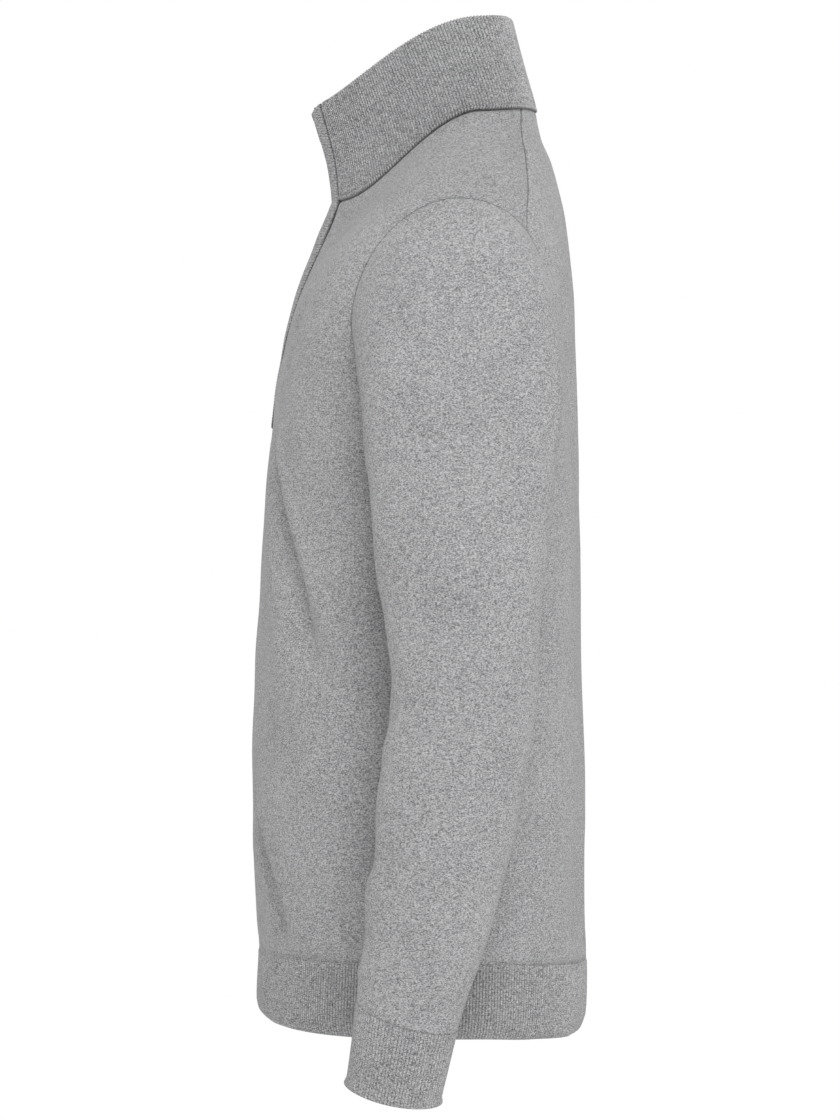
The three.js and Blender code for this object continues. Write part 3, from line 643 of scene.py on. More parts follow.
def knit(name, wale, course, relief, groove=0.0, fibre_relief=0.00012, pale=GREY_PALE, dark=GREY_DARK):
    """A knit with stitches of a given width and height, in metres, with painted shade between its stitches
    and at its seams, and grooves darker by a share: partly the darker purl, partly painted shade.
    """
    material, tree, shader = new_material(name)
    across, up = cloth_distances(tree)

    stitches = tree.nodes.new("ShaderNodeGroup")
    stitches.node_tree = STITCHES
    tree.links.new(math_node(tree, "DIVIDE", across, wale), stitches.inputs["Across"])
    tree.links.new(math_node(tree, "DIVIDE", up, course), stitches.inputs["Up"])

    heather = tree.nodes.new("ShaderNodeGroup")
    heather.node_tree = HEATHER
    heather.inputs["Pale"].default_value = pale
    heather.inputs["Dark"].default_value = dark
    where = tree.nodes.new("ShaderNodeTexCoord")
    tree.links.new(where.outputs["Object"], heather.inputs["Place"])

    # Rib grooves are darker by the share groove: partly the darker purl stitches that show there, partly
    # painted shade that stands for the shade in the grooves.
    wave = math_node(tree, "COSINE", math_node(tree, "MULTIPLY", across, 2 * math.pi / wale))
    purl_and_groove_shade = math_node(tree, "MULTIPLY_ADD", wave, -groove / 2, 1 - groove / 2)
    # Painted shade: the colour darkens between the stitch legs and between courses, where the relief lies in
    # shade.
    stitch_shade = math_node(tree, "MULTIPLY_ADD", stitches.outputs["Height"], 0.5, 0.69)
    # Painted shade along the seams, read from the mesh's seam attribute.
    sewn = tree.nodes.new("ShaderNodeAttribute")
    sewn.attribute_name = "seam"
    lit = math_node(tree, "MULTIPLY_ADD", sewn.outputs["Fac"], -SEAM_SHADE, 1)
    # depth is all the painted shade together (stitches, rib grooves and seams), multiplied into the
    # heather's colour.
    depth = math_node(tree, "MULTIPLY", math_node(tree, "MULTIPLY", stitch_shade, purl_and_groove_shade), lit)
    shaded = mixed_colour(tree, 1, heather.outputs["Color"], depth, "MULTIPLY")
    tree.links.new(shaded, shader.inputs["Base Color"])

    high = math_node(tree, "MULTIPLY", stitches.outputs["Height"], relief)
    fuzz = math_node(tree, "MULTIPLY_ADD", heather.outputs["Fibre"], fibre_relief, high)
    add_bump(tree, shader, fuzz, strength=0.75)
    rough = math_node(tree, "MULTIPLY_ADD", heather.outputs["Fibre"], -0.1, 0.95)
    tree.links.new(rough, shader.inputs["Roughness"])
    shader.inputs["Specular IOR Level"].default_value = 0.2
    shader.inputs["Sheen Weight"].default_value = 0.18
    shader.inputs["Sheen Roughness"].default_value = 0.6
    return material


WALE = 0.0019  # width of a stitch of the jersey, in metres
COURSE = 0.0013  # and its height
RIB_COURSE = 0.0014
STITCH_RELIEF = 0.0003
RIB = 2.35  # pitch of the ribs, in millimetres
RIB_PALE = (0.62, 0.62, 0.63, 1)
JERSEY = knit("heather jersey", WALE, COURSE, STITCH_RELIEF)
# The ribbing's grooves are 0.34 darker: painted shade together with the darker purl.
RIBBING = knit("heather ribbing", RIB * MM, RIB_COURSE, STITCH_RELIEF, groove=0.34, pale=RIB_PALE)
print("made the knits", JERSEY.name, "and", RIBBING.name)

# %% [markdown]
# ## Front and back
#
# A maker cuts each as one flat panel. Its edge goes up the side seam, round the armhole, along the
# shoulder seam and round the neck. The grid of each panel follows those edges: every row starts on the
# centre line and ends at a point of the edge, so the rows fan out round the armhole as they rise.

# %% Where the rows of a panel end
SIDE_ROWS = 9.0  # rows below the underarm
TURN = 18.0  # degrees of the armhole to a row
SEAM_TURN = -54.0  # where the shoulder seam meets the armhole
SEAM_ROWS = 4.0
SHOULDER_SEAM_ANGLE = 135.0  # where the shoulder seam meets the collar


def panel_edge(row, way):
    """The edge as an angle and a level. way is -1 round the front of the armhole and 1 round its back."""
    around = (180 - SEAM_TURN) / TURN if way < 0 else (180 + SEAM_TURN) / TURN
    seam_start = SIDE_ROWS + around
    turn = 180 + way * TURN * np.clip(row - SIDE_ROWS, 0, around)
    angle, level = armhole(turn)
    low = row < SIDE_ROWS
    angle = np.where(low, 90, angle)
    level = np.where(low, mix(HEM_TOP, UNDERARM, row / SIDE_ROWS), level)
    share = np.clip((row - seam_start) / SEAM_ROWS, 0, 1)
    return mix(angle, SHOULDER_SEAM_ANGLE, share), mix(level, NECK, share)


print("the armhole starts at", panel_edge(np.array([SIDE_ROWS]), -1))

# %% The way the knit runs on the body
LAID_LEVELS = np.linspace(0, NECK, 161)
LAID_ANGLES = np.linspace(0, 180, 181)
laid = ring_point(BODY_RINGS, LAID_ANGLES[None, :], LAID_LEVELS[:, None])
LAID_AROUND, LAID_UP = steps_along(laid, 1), steps_along(laid, 0)


def look_up(values, angle, level):
    """A value between the rows and columns of a table of levels and angles."""
    row = np.clip(level / LAID_LEVELS[1], 0, len(LAID_LEVELS) - 1.001)
    column = np.clip(angle / LAID_ANGLES[1], 0, len(LAID_ANGLES) - 1.001)
    i, j = row.astype(int), column.astype(int)
    low = mix(values[i, j], values[i, j + 1], column - j)
    high = mix(values[i + 1, j], values[i + 1, j + 1], column - j)
    return mix(low, high, row - i)


def panel_uv(angle, level, centre):
    """Distances on the cloth, round from a panel's centre line and up from the hem, so wales run up."""
    angle, level = np.broadcast_arrays(np.asarray(angle, float), np.asarray(level, float))
    side = np.where(angle < centre, -1, 1)
    round_it = np.minimum(np.abs(angle), 360 - np.abs(angle))
    centre_line = look_up(LAID_AROUND, np.full_like(level, centre), level)
    out = np.abs(look_up(LAID_AROUND, round_it, level) - centre_line)
    return np.stack([side * out, look_up(LAID_UP, round_it, level)], -1) * MM


print("round the hem the front's cloth is", round(2 * float(LAID_AROUND[0, 90])), "mm wide")

# %% The front, open for the zip
FRONT_ROWS = 26.0
OPENING_ROW = 11.0  # the row at the lower end of the zip opening
FINE_FRONT_FOLDS = FRONT_FOLDS + [
    [60, -150, 180, -360, 17, 6.5, 4.4],
    [74, -146, 194, -342, 15, 8, -4],
    [30, -300, 120, -372, 8, 12, 1.6],
    [150, -60, 96, -128, -6, 9, 1.8],
    [134, -40, 70, -104, -5, 12, -1.4],
    [32, -424, 148, -556, 15, 7, 4.4],
    [50, -410, 168, -540, 13, 9, -3.8],
    [10, -476, 92, -548, 8, 9, 1.8],
    [-72, -170, -176, -332, -13, 6, 2.4],
    [-84, -156, -186, -318, -12, 9, -2],
    [-36, -446, -142, -550, -12, 6, 2.2],
    [-146, -62, -90, -130, 6, 9, 1.8],
    [-20, -330, -118, -402, -8, 13, 1.5],
]
FINE_BACK_FOLDS = BACK_FOLDS + [
    [150, -60, 84, -170, -10, 14, 2.4],
    [-146, -66, -80, -176, 10, 14, 2.4],
    [120, -330, 168, -470, 8, 9, 2],
    [-118, -340, -166, -486, -8, 9, 2],
    [20, -452, 44, -552, 4, 14, 1.8],
    [30, -250, 110, -330, 6, 16, 1.6],
    [-40, -230, -104, -300, -6, 16, 1.6],
]
SIDE_COLUMNS = 60
ZIP_COLUMNS = 4  # on each side of centre front
ROUGH = np.linspace(0, 1, 25)[None, :]  # shares at which a row's length is measured


FRONT_CENTRE = table(
    "row level",
    [[0, HEM_TOP], [SIDE_ROWS, 398], [OPENING_ROW, ZIP_END], [19, 584], [22, 612], [FRONT_ROWS, NECK]],
)


def front_points(rows):
    row = np.linspace(0, FRONT_ROWS, rows + 1)[:, None]
    centre = np.interp(row, FRONT_CENTRE["row"], FRONT_CENTRE["level"])
    edge_angle, edge_level = panel_edge(row, -1)
    bow = 1 + ease((row - SIDE_ROWS - 8) / 3)
    start = angle_at(BODY_RINGS, centre, BAND_EDGE)
    rough = body_point(mix(start, edge_angle, ROUGH), mix(centre, edge_level, ROUGH))
    share = shares_to_edge(steps_along(rough, 1)[:, -1], SIDE_COLUMNS, from_edge=True)
    half_angle = mix(start, edge_angle, share)
    half_level = mix(centre, edge_level, share**bow)
    inner = np.linspace(0, 1, ZIP_COLUMNS, endpoint=False)[None, :]
    half_angle = np.concatenate([start * inner, half_angle], 1)
    half_level = np.concatenate([np.broadcast_to(centre, (rows + 1, ZIP_COLUMNS)), half_level], 1)
    angle = np.concatenate([-half_angle[:, :0:-1], half_angle], 1)
    level = np.concatenate([half_level[:, :0:-1], half_level], 1)
    points = body_point(angle, level, 0.0, FINE_FRONT_FOLDS, FINE_BACK_FOLDS)
    return points, row, panel_uv(angle, level, 0)


SWELL_SIZE = 75.0
SWELL_HEIGHT = 0.8
SWELL_FADE = 16.0  # distance over which swells die away towards a sewn edge


def uneven(points, seed):
    """Swells that die away towards the edges that are sewn, so that neighbours meet."""
    inside = ease(edge_distance(points, ["left", "right", "top", "bottom"]) / SWELL_FADE)
    wave = swells(points, SWELL_SIZE, SWELL_HEIGHT, seed) * inside
    return points + grid_normals(points) * wave[..., None]


JERSEY_KNIT = 2.0
ROWS_PER_STEP = 6
SEAM_DEPTH = 1.0  # how far an edge turns in at a seam
SEAM_WIDTH = 0.95
NECK_DEPTH = 0.8
UNDER_BAND = 1.5  # how far the front goes in under a zip band
UNDER_BAND_WIDTH = 1.6

rows = int(FRONT_ROWS) * ROWS_PER_STEP
points, row, front_uv = front_points(rows)
points = uneven(points, 11)
points = turned_in(points, ["left", "right"], SEAM_DEPTH, SEAM_WIDTH)
beside_zip = np.exp(-((np.maximum(np.abs(points[..., 0]) - BAND_EDGE, 0) / UNDER_BAND_WIDTH) ** 1.5))
above_end = ease((row - OPENING_ROW + 0.3) * 4)
points = points - grid_normals(points) * (UNDER_BAND * beside_zip * above_end)[..., None]
points = turned_in(points, ["top"], NECK_DEPTH, SEAM_WIDTH)
first_gone = OPENING_ROW * ROWS_PER_STEP
middle = points.shape[1] // 2
front = cloth(
    "front_panel",
    points,
    JERSEY,
    JERSEY_KNIT,
    uv=front_uv,
    seam=seam_shade(points, ["left", "right"], SEAM_LINE),
    keep=lambda i, j: i < first_gone or not middle - ZIP_COLUMNS <= j < middle + ZIP_COLUMNS,
)

# %% The back
BACK_ROWS = 20.0
BACK_COLUMNS = 60  # on each side of centre back
BACK_CENTRE = table("row level", [[0, HEM_TOP], [SIDE_ROWS, 405], [16, 548], [BACK_ROWS, NECK]])


def back_points(rows):
    row = np.linspace(0, BACK_ROWS, rows + 1)[:, None]
    centre = np.interp(row, BACK_CENTRE["row"], BACK_CENTRE["level"])
    edge_angle, edge_level = panel_edge(row, 1)
    rough = body_point(mix(180, edge_angle, ROUGH), mix(centre, edge_level, ROUGH))
    half = shares_to_edge(steps_along(rough, 1)[:, -1], BACK_COLUMNS)
    across = np.concatenate([-half[:, :0:-1], half], 1)
    share = np.abs(across)
    angle = 180 + across * (180 - edge_angle)
    level = mix(centre, edge_level, share)
    return body_point(angle, level, 0.0, FINE_FRONT_FOLDS, FINE_BACK_FOLDS), panel_uv(angle, level, 180)


points, back_uv = back_points(int(BACK_ROWS) * 8)
points = uneven(points, 23)
points = turned_in(points, ["left", "right"], SEAM_DEPTH, SEAM_WIDTH)
points = turned_in(points, ["top"], NECK_DEPTH, SEAM_WIDTH)
sewn = seam_shade(points, ["left", "right"], SEAM_LINE)
back = cloth("back_panel", points, JERSEY, JERSEY_KNIT, uv=back_uv, seam=sewn)

# %% [markdown]
# ## Sleeves
#
# Each is a tube from the armhole to the cuff, with its seam under the arm. The left one shows best in
# the photograph: its cap is smooth, soft creases break across the forearm where the arm bends, and
# fine ripples lie above the cuff. The other sleeve gets creases of the same kind, in other places.

# %% Both sleeves
LEFT_SLEEVE_CREASES = LEFT_SLEEVE_FOLDS + [
    [60, 9.6, 34, 0.22, 0.9, 2.6],
    [40, 10.7, 30, 0.22, 0.7, 2.4],
    [30, 11.4, 36, 0.25, -0.6, 2.0],
    [70, 11.8, 38, 0.2, 0.9, 2.2],
    [10, 12.7, 36, 0.22, 0.8, 2.0],
    [80, 13.2, 34, 0.16, 0.6, 1.6],
    [300, 12.1, 40, 0.25, -0.8, 1.4],
    [250, 9.5, 36, 0.25, -0.5, 1.6],
    [330, 10.2, 30, 0.25, -0.7, 1.1],
    [100, 6.8, 40, 0.5, 1.1, 2.2],
    [180, 3.4, 50, 0.5, 0.2, 2.6],
    [200, 5.0, 40, 0.6, 0.4, 2.0],
    [70, 4.3, 34, 0.7, 1.4, 1.4],
]
RIGHT_SLEEVE_CREASES = RIGHT_SLEEVE_FOLDS + [
    [55, 9.9, 32, 0.22, 0.8, 2.6],
    [35, 11.1, 34, 0.25, 0.8, 2.3],
    [75, 12.0, 36, 0.2, 0.7, 2.1],
    [15, 12.9, 34, 0.2, -0.7, 1.9],
    [290, 11.6, 40, 0.25, -0.7, 1.5],
    [250, 9.2, 36, 0.25, -0.5, 1.6],
    [320, 10.5, 32, 0.3, -0.6, 1.2],
    [95, 6.4, 42, 0.5, 1.0, 2.2],
    [180, 3.6, 50, 0.5, 0.2, 2.6],
    [205, 5.3, 40, 0.6, 0.4, 2.0],
]
SLEEVE_ROWS = 190
SLEEVE_COLUMNS = 104
NEAR_SEAM = [0, 0.02, 0.045, 0.075, 0.11]  # rings close to the armhole
FIRST_EVEN_RING = 0.17
SLEEVE_SWELL_SIZE = 65.0
SLEEVE_SWELL_HEIGHT = 0.7


def mirrored(points):
    return points[:, ::-1] * np.array([-1.0, 1.0, 1.0])


def sleeve(name, folds, seed, right):
    turn = 180 - 360 * np.linspace(0, 1, SLEEVE_COLUMNS + 1)[None, :]
    level = np.concatenate([NEAR_SEAM, np.linspace(FIRST_EVEN_RING, CUFF_TOP, SLEEVE_ROWS)])
    points = sleeve_point(turn, level[:, None], folds)
    inside = ease(edge_distance(points, ["bottom", "top"]) / SWELL_FADE)
    wave = swells(points, SLEEVE_SWELL_SIZE, SLEEVE_SWELL_HEIGHT, seed) * inside
    wave = mix(wave, wave[:, ::-1], 0.5 * np.abs(np.linspace(-1, 1, SLEEVE_COLUMNS + 1))[None, :] ** 8)
    points = points + grid_normals(points, closed=True) * wave[..., None]
    points = turned_in(points, ["bottom"], SEAM_DEPTH, SEAM_WIDTH, closed=True)
    points[:, -1] = points[:, 0]
    sewn = seam_shade(points, ["bottom"], SEAM_LINE)
    if right:
        points, sewn = mirrored(points), sewn[:, ::-1]
    return cloth(name, points, JERSEY, JERSEY_KNIT, middle=SLEEVE_COLUMNS // 2, closed=True, seam=sewn)


sleeve_left = sleeve("sleeve_panel_left", LEFT_SLEEVE_CREASES, 5, right=False)
sleeve_right = sleeve("sleeve_panel_right", RIGHT_SLEEVE_CREASES, 9, right=True)

# %% [markdown]
# ## Ribbed bands
#
# The hem, the cuffs and the collar are knitted in 1x1 rib. Its ribs are real relief here, 2.35 mm
# apart, because they catch the light along every edge. Six columns of the grid make one rib. At its
# upper end each rib starts a little higher or lower than the next, in a fine zigzag.

# %% Helpers for ribs
RIB_COLUMNS = 6
RIB_RELIEF = 0.85


def angles_at(curve, start, end, shares):
    """Angles at given shares of a curve's length, and that length."""
    angle = np.linspace(start, end, 2001)
    length = np.concatenate([[0], np.cumsum(np.linalg.norm(np.diff(curve(angle), axis=0), axis=1))])
    return np.interp(np.asarray(shares) * length[-1], length, angle), length[-1]


def even_angles(curve, start, end, count):
    return angles_at(curve, start, end, np.linspace(0, 1, count + 1))


def rib_count(length):
    return round(length / RIB)


def rib_angles(curve, start, end):
    """The angles of a band's columns, and how many ribs it has."""
    count = rib_count(even_angles(curve, start, end, 1)[1])
    return even_angles(curve, start, end, count * RIB_COLUMNS)[0], count


def rib_height(count):
    """The height of each column of a band of ribs, from 0 in a groove to 1 on a rib."""
    phase = np.arange(count * RIB_COLUMNS + 1) / RIB_COLUMNS
    return (0.5 - 0.5 * np.cos(2 * np.pi * phase)) ** 0.85


def rib_uv(points, count):
    across = np.arange(count * RIB_COLUMNS + 1) / RIB_COLUMNS * RIB
    up = steps_along(points, 0)
    return np.stack([np.broadcast_to(across, up.shape), up], -1) * MM


def zigzag(count, rows_from_start):
    """How far the relief has grown, in rows from the band's start, with every other rib late."""
    late = np.where(np.arange(count * RIB_COLUMNS + 1) // RIB_COLUMNS % 2 == 0, 0.0, 1.6)
    return ease((rows_from_start[:, None] - late[None, :]) / 2.5)


def lower_at_end(away):
    """Ribs are flattened by the last course, at the free edge."""
    return mix(0.25, 1, ease(away / 3))


print("a rib is", RIB, "mm wide")

# %% The hem
HEM_KNIT = 2.2
FREE_EDGE_DEPTH = 1.5  # how far the free edge of a band rounds in
FREE_EDGE_WIDTH = 2.4
HEM_FIRST = [0, 0.8, 2.0, 4.0]  # rows of the grid above the free edge
HEM_LAST = HEM_TOP - np.array([4.5, 3, 1.5, 0])  # and below the seam


def hem_band(name, start, end, seed):
    angles, count = rib_angles(lambda a: body_point(a, HEM_TOP / 2), start, end)
    levels = np.concatenate([HEM_FIRST, np.linspace(7, HEM_TOP - 6, 8), HEM_LAST])
    base = body_point(angles[None, :], levels[:, None])
    relief = rib_height(count)[None, :] * zigzag(count, (HEM_TOP - levels) / 1.5)
    wave = swells(base, 60, 0.5, seed) * ease((HEM_TOP - levels) / 15)[:, None]
    swollen = base + grid_normals(base) * wave[..., None]
    points = turned_in(swollen, ["bottom"], FREE_EDGE_DEPTH, FREE_EDGE_WIDTH)
    relief = relief * lower_at_end(levels)[:, None]
    ribs = grid_normals(points) * (RIB_RELIEF * relief)[..., None]
    return cloth(name, points, RIBBING, HEM_KNIT, uv=rib_uv(points, count), relief=ribs)


hem_front = hem_band("hem_rib_front", -90, 90, 31)
hem_back = hem_band("hem_rib_back", 90, 270, 32)

# %% The cuffs
CUFF_KNIT = 2.2
CUFF_SHARES = np.concatenate([[0, 0.03, 0.06, 0.09], np.linspace(0.15, 0.9, 8), [0.94, 0.97, 0.99, 1]])


def cuff(name, right):
    curve = lambda turn: sleeve_point(turn, (CUFF_TOP + CUFF_END) / 2, [])
    turns, count = rib_angles(curve, 180, -180)
    levels = CUFF_TOP + (CUFF_END - CUFF_TOP) * CUFF_SHARES
    points = sleeve_point(turns[None, :], levels[:, None], [])
    relief = rib_height(count)[None, :] * zigzag(count, CUFF_SHARES * 30)
    away = edge_distance(points, ["top"])
    points = turned_in(points, ["top"], FREE_EDGE_DEPTH, FREE_EDGE_WIDTH, closed=True)
    ribs = grid_normals(points, closed=True) * (RIB_RELIEF * relief * lower_at_end(away))[..., None]
    points[:, -1], ribs[:, -1] = points[:, 0], ribs[:, 0]
    if right:
        points, ribs = mirrored(points), mirrored(ribs)
    return cloth(name, points, RIBBING, CUFF_KNIT, closed=True, uv=rib_uv(points, count), relief=ribs)


cuff_left = cuff("cuff_rib_left", right=False)
cuff_right = cuff("cuff_rib_right", right=True)

# %% [markdown]
# ## The collar
#
# The stand collar is one strip of rib, folded along its upper edge. So its sheet goes up the outside,
# over a small round edge and down the inside, with a wall of its own thickness on each side.

# %% The folded collar
FOLD_RADIUS = 1.75
COLLAR_LAYER = 1.4
RIB_LEAN = 0.028  # how much further forward than even spacing a rib's upper end is, as a share
SEAM_STITCH_TOP = 3.6  # height up to which the seam's stitches cover the collar


def collar_sheet():
    start = float(angle_at(COLLAR_RINGS, COLLAR_HEIGHT / 2, BAND_EDGE))
    count = rib_count(even_angles(lambda a: collar_point(a, COLLAR_HEIGHT / 2), start, 360 - start, 1)[1])
    share = np.linspace(0, 1, count * RIB_COLUMNS + 1)
    lean = RIB_LEAN * np.sin(2 * np.pi * share)
    top = COLLAR_HEIGHT - FOLD_RADIUS
    rise = np.concatenate([[0, 0.6, 1.3, 2.4, 3.6, 4.6], np.linspace(6, top, 12)])
    bend = np.radians(np.arange(30, 180, 30))
    heights = np.concatenate([rise, top + FOLD_RADIUS * np.sin(bend), rise[::-1]])
    inward = np.concatenate([rise * 0, FOLD_RADIUS * (1 - np.cos(bend)), rise * 0 + 2 * FOLD_RADIUS])
    angle = []
    for height in heights:
        first = float(angle_at(COLLAR_RINGS, height, BAND_EDGE))
        curve = lambda a: collar_point(a, height)
        angle.append(angles_at(curve, first, 360 - first, share - lean * height / COLLAR_HEIGHT)[0])
    points = collar_point(np.array(angle), heights[:, None], inward[:, None])
    points = turned_in(points, ["bottom"], 0.7, 1.0)
    points = turned_in(points, ["left", "right"], 1.5, 1.5)
    shown = ease((heights - SEAM_STITCH_TOP) / 1.5)[:, None]
    ribs = grid_normals(points) * (RIB_RELIEF * shown * rib_height(count)[None, :])[..., None]
    # Painted shade at the collar's ends and along its foot under the seam stitches.
    sewn = np.maximum(seam_shade(points, ["left", "right"], 1.3), seam_shade(points, ["bottom"], 3.2))
    uv = rib_uv(points, count)
    return cloth("collar_rib", points, RIBBING, COLLAR_LAYER, uv=uv, relief=ribs, seam=sewn)


collar = collar_sheet()

# %% [markdown]
# ## The zip bands
#
# A narrow strip of finer rib covers each edge of the opening, from below the chest to the top of the
# collar. Its ribs run across. Its free edge is folded back round the tape, so its sheet is a grid whose
# columns go across the strip, round the fold and a little way back inside.

# %% Both zip bands
ZIP_TOP = NECK + COLLAR_HEIGHT
BAND_LIFT = 0.4  # how far a band stands proud of the front
BAND_KNIT = 2.8
BAND_LAYER = 0.75  # thickness of one layer of the folded strip
BAND_RIB = 2.1
BAND_RELIEF = 0.42
BAND_BACK = 9.0  # from centre front to where the strip ends behind
CORNER_DROP = 5.0  # how far the band's upper corner drops towards centre front
CORNER_REACH = 16.0  # and how far down the band that begins


def zip_point(x, level, inward):
    """A place beside the zip, at a distance from centre front, where the level goes on up the collar."""
    x, level, inward = np.broadcast_arrays(*(np.asarray(v, float) for v in (x, level, inward)))
    low = np.minimum(level, NECK)
    high = np.clip(level - NECK, 0, COLLAR_HEIGHT)
    on_body = body_point(angle_at(BODY_RINGS, low, x), low, inward)
    on_collar = collar_point(angle_at(COLLAR_RINGS, high, x), high, inward)
    return np.where((level <= NECK)[..., None], on_body, on_collar)


def zip_levels(start, end, step):
    """Levels that are evenly spaced along the zip."""
    level = np.linspace(start, end, 801)
    path = zip_point(BAND_MOUTH, level, 0.0)
    length = np.concatenate([[0], np.cumsum(np.linalg.norm(np.diff(path, axis=0), axis=1))])
    count = round(length[-1] / step)
    return np.interp(np.linspace(0, length[-1], count + 1), length, level)


def zip_band(name, right):
    levels = zip_levels(ZIP_END + 0.3, ZIP_TOP, BAND_RIB / RIB_COLUMNS)
    front_face, back_face = -BAND_LIFT, BAND_KNIT - BAND_LIFT - BAND_LAYER
    middle = (front_face + back_face) / 2
    radius = (back_face - front_face) / 2
    bend = np.radians(np.arange(-60, 90, 30))
    flat = np.linspace(BAND_EDGE, BAND_MOUTH + radius, 8)
    x = np.concatenate([flat, BAND_MOUTH + radius - radius * np.cos(bend), [BAND_MOUTH + radius, BAND_BACK]])
    inward = np.concatenate([flat * 0 + front_face, middle + radius * np.sin(bend), [back_face, back_face]])
    drop = CORNER_DROP * np.clip((BAND_EDGE - x) / (BAND_EDGE - BAND_MOUTH), 0, 1) ** 1.5
    near_top = ease((levels - ZIP_TOP + CORNER_REACH) / CORNER_REACH)
    lowered = levels[:, None] - drop[None, :] * near_top[:, None]
    points = zip_point(x[None, :], lowered, inward[None, :])[:, ::-1]
    rib = (0.5 - 0.5 * np.cos(2 * np.pi * np.arange(len(levels)) / RIB_COLUMNS)) ** 0.85
    shown = ease((x[::-1] - BAND_MOUTH - 0.2) / 1.5)
    points = turned_in(points, ["right"], 0.9, 1.1)
    points = turned_in(points, ["top", "bottom"], 0.45, 0.8)
    ribs = grid_normals(points) * (BAND_RELIEF * rib[:, None] * shown[None, :])[..., None]
    uv = np.stack([steps_along(points, 0) / BAND_RIB * RIB, steps_along(points, 1)], -1) * MM
    # Painted shade along the band's sewn edge.
    sewn = seam_shade(points, ["right"], 0.9)
    if right:
        points, ribs, uv, sewn = mirrored(points), mirrored(ribs), uv[:, ::-1], sewn[:, ::-1]
    return cloth(name, points, RIBBING, BAND_LAYER, uv=uv, relief=ribs, seam=sewn)


band_left = zip_band("zip_band_left", right=False)
band_right = zip_band("zip_band_right", right=True)

# %% [markdown]
# ## The zip
#
# Behind the bands lie two woven tapes that meet at centre front. Each carries a row of small moulded
# teeth, and the two rows mesh. One tooth is a small bevelled block, and the row is the same block
# again and again up the path of the zip. The slider stands near the top, with its pull hanging down.

# %% Materials of the zip
WARP = 0.0006  # pitch of the tape's threads, in metres
WEFT = 0.0008
WEAVE_RELIEF = 0.0001


def woven_tape():
    material, tree, shader = new_material("woven zip tape")
    across, up = cloth_distances(tree)
    warp = math_node(tree, "SINE", math_node(tree, "MULTIPLY", across, 2 * math.pi / WARP))
    weft = math_node(tree, "SINE", math_node(tree, "MULTIPLY", up, 2 * math.pi / WEFT))
    weave = math_node(tree, "MULTIPLY_ADD", math_node(tree, "MULTIPLY", warp, weft), 0.5, 0.5)
    colour = mixed_colour(tree, weave, (0.1, 0.1, 0.105, 1), (0.2, 0.2, 0.205, 1))
    tree.links.new(colour, shader.inputs["Base Color"])
    add_bump(tree, shader, math_node(tree, "MULTIPLY", weave, WEAVE_RELIEF))
    shader.inputs["Roughness"].default_value = 0.8
    shader.inputs["Specular IOR Level"].default_value = 0.25
    return material


WEAR_RELIEF = 0.00003


def brushed_metal(name, colour, metallic, roughness):
    material, tree, shader = new_material(name)
    where = tree.nodes.new("ShaderNodeTexCoord")
    wear = tree.nodes.new("ShaderNodeTexNoise")
    wear.inputs["Scale"].default_value = 900
    wear.inputs["Detail"].default_value = 3
    tree.links.new(where.outputs["Object"], wear.inputs["Vector"])
    rough = math_node(tree, "MULTIPLY_ADD", wear.outputs["Fac"], 0.25, roughness - 0.12)
    tree.links.new(rough, shader.inputs["Roughness"])
    worn = (*(0.8 * c for c in colour), 1)
    tint = mixed_colour(tree, wear.outputs["Fac"], worn, (*colour, 1))
    tree.links.new(tint, shader.inputs["Base Color"])
    shader.inputs["Metallic"].default_value = metallic
    add_bump(tree, shader, math_node(tree, "MULTIPLY", wear.outputs["Fac"], WEAR_RELIEF))
    return material


TAPE_CLOTH = woven_tape()
GUNMETAL = brushed_metal("satin gunmetal", (0.3, 0.3, 0.31), 1.0, 0.36)
TOOTH = brushed_metal("moulded teeth", (0.13, 0.13, 0.135), 0.0, 0.45)
print("made", TAPE_CLOTH.name, GUNMETAL.name, "and", TOOTH.name)

# %% The tapes
TAPE = 1.0
TAPE_FRONT = BAND_KNIT - BAND_LIFT + 0.3  # how far behind the form a tape's front face lies
ZIP_GAP = 0.25


def tape(name, right):
    levels = zip_levels(ZIP_END + 2, ZIP_TOP - 1, 3.0)
    x = np.linspace(ZIP_GAP, 11.8, 9)
    points = zip_point(x[None, :], levels[:, None], TAPE_FRONT)
    if right:
        points = mirrored(points)
    return cloth(name, points, TAPE_CLOTH, TAPE)


tape_left = tape("zip_tape_cloth_left", right=False)
tape_right = tape("zip_tape_cloth_right", right=True)

# %% One small part again and again along a path
def repeated(name, unit_mesh, frames, finish):
    bm = bmesh.new()
    for place in frames:
        bm.from_mesh(unit_mesh)
        fresh = bm.verts[-len(unit_mesh.vertices) :]
        bmesh.ops.transform(bm, matrix=place, verts=fresh)
    made = add_object(name, finished_mesh(name, bm), finish)
    print(name, "has", len(frames), "parts and", len(made.data.polygons), "faces")
    return made


def block(size, bevel, segments=1):
    """A small bevelled block in millimetres, made in metres."""
    bm = bmesh.new()
    bmesh.ops.create_cube(bm, size=1)
    bmesh.ops.scale(bm, vec=[MM * s for s in size], verts=bm.verts)
    bmesh.ops.bevel(
        bm, geom=bm.edges[:], offset=bevel * MM, offset_type="OFFSET", segments=segments, profile=0.5,
        affect="EDGES", material=-1,
    )
    return finished_mesh("block", bm)


def axes(point, left, up, out):
    place = Matrix.Identity(4)
    for column, vector in enumerate((left, up, out)):
        place.col[column][:3] = vector
    place.translation = Vector(point) * MM
    return place


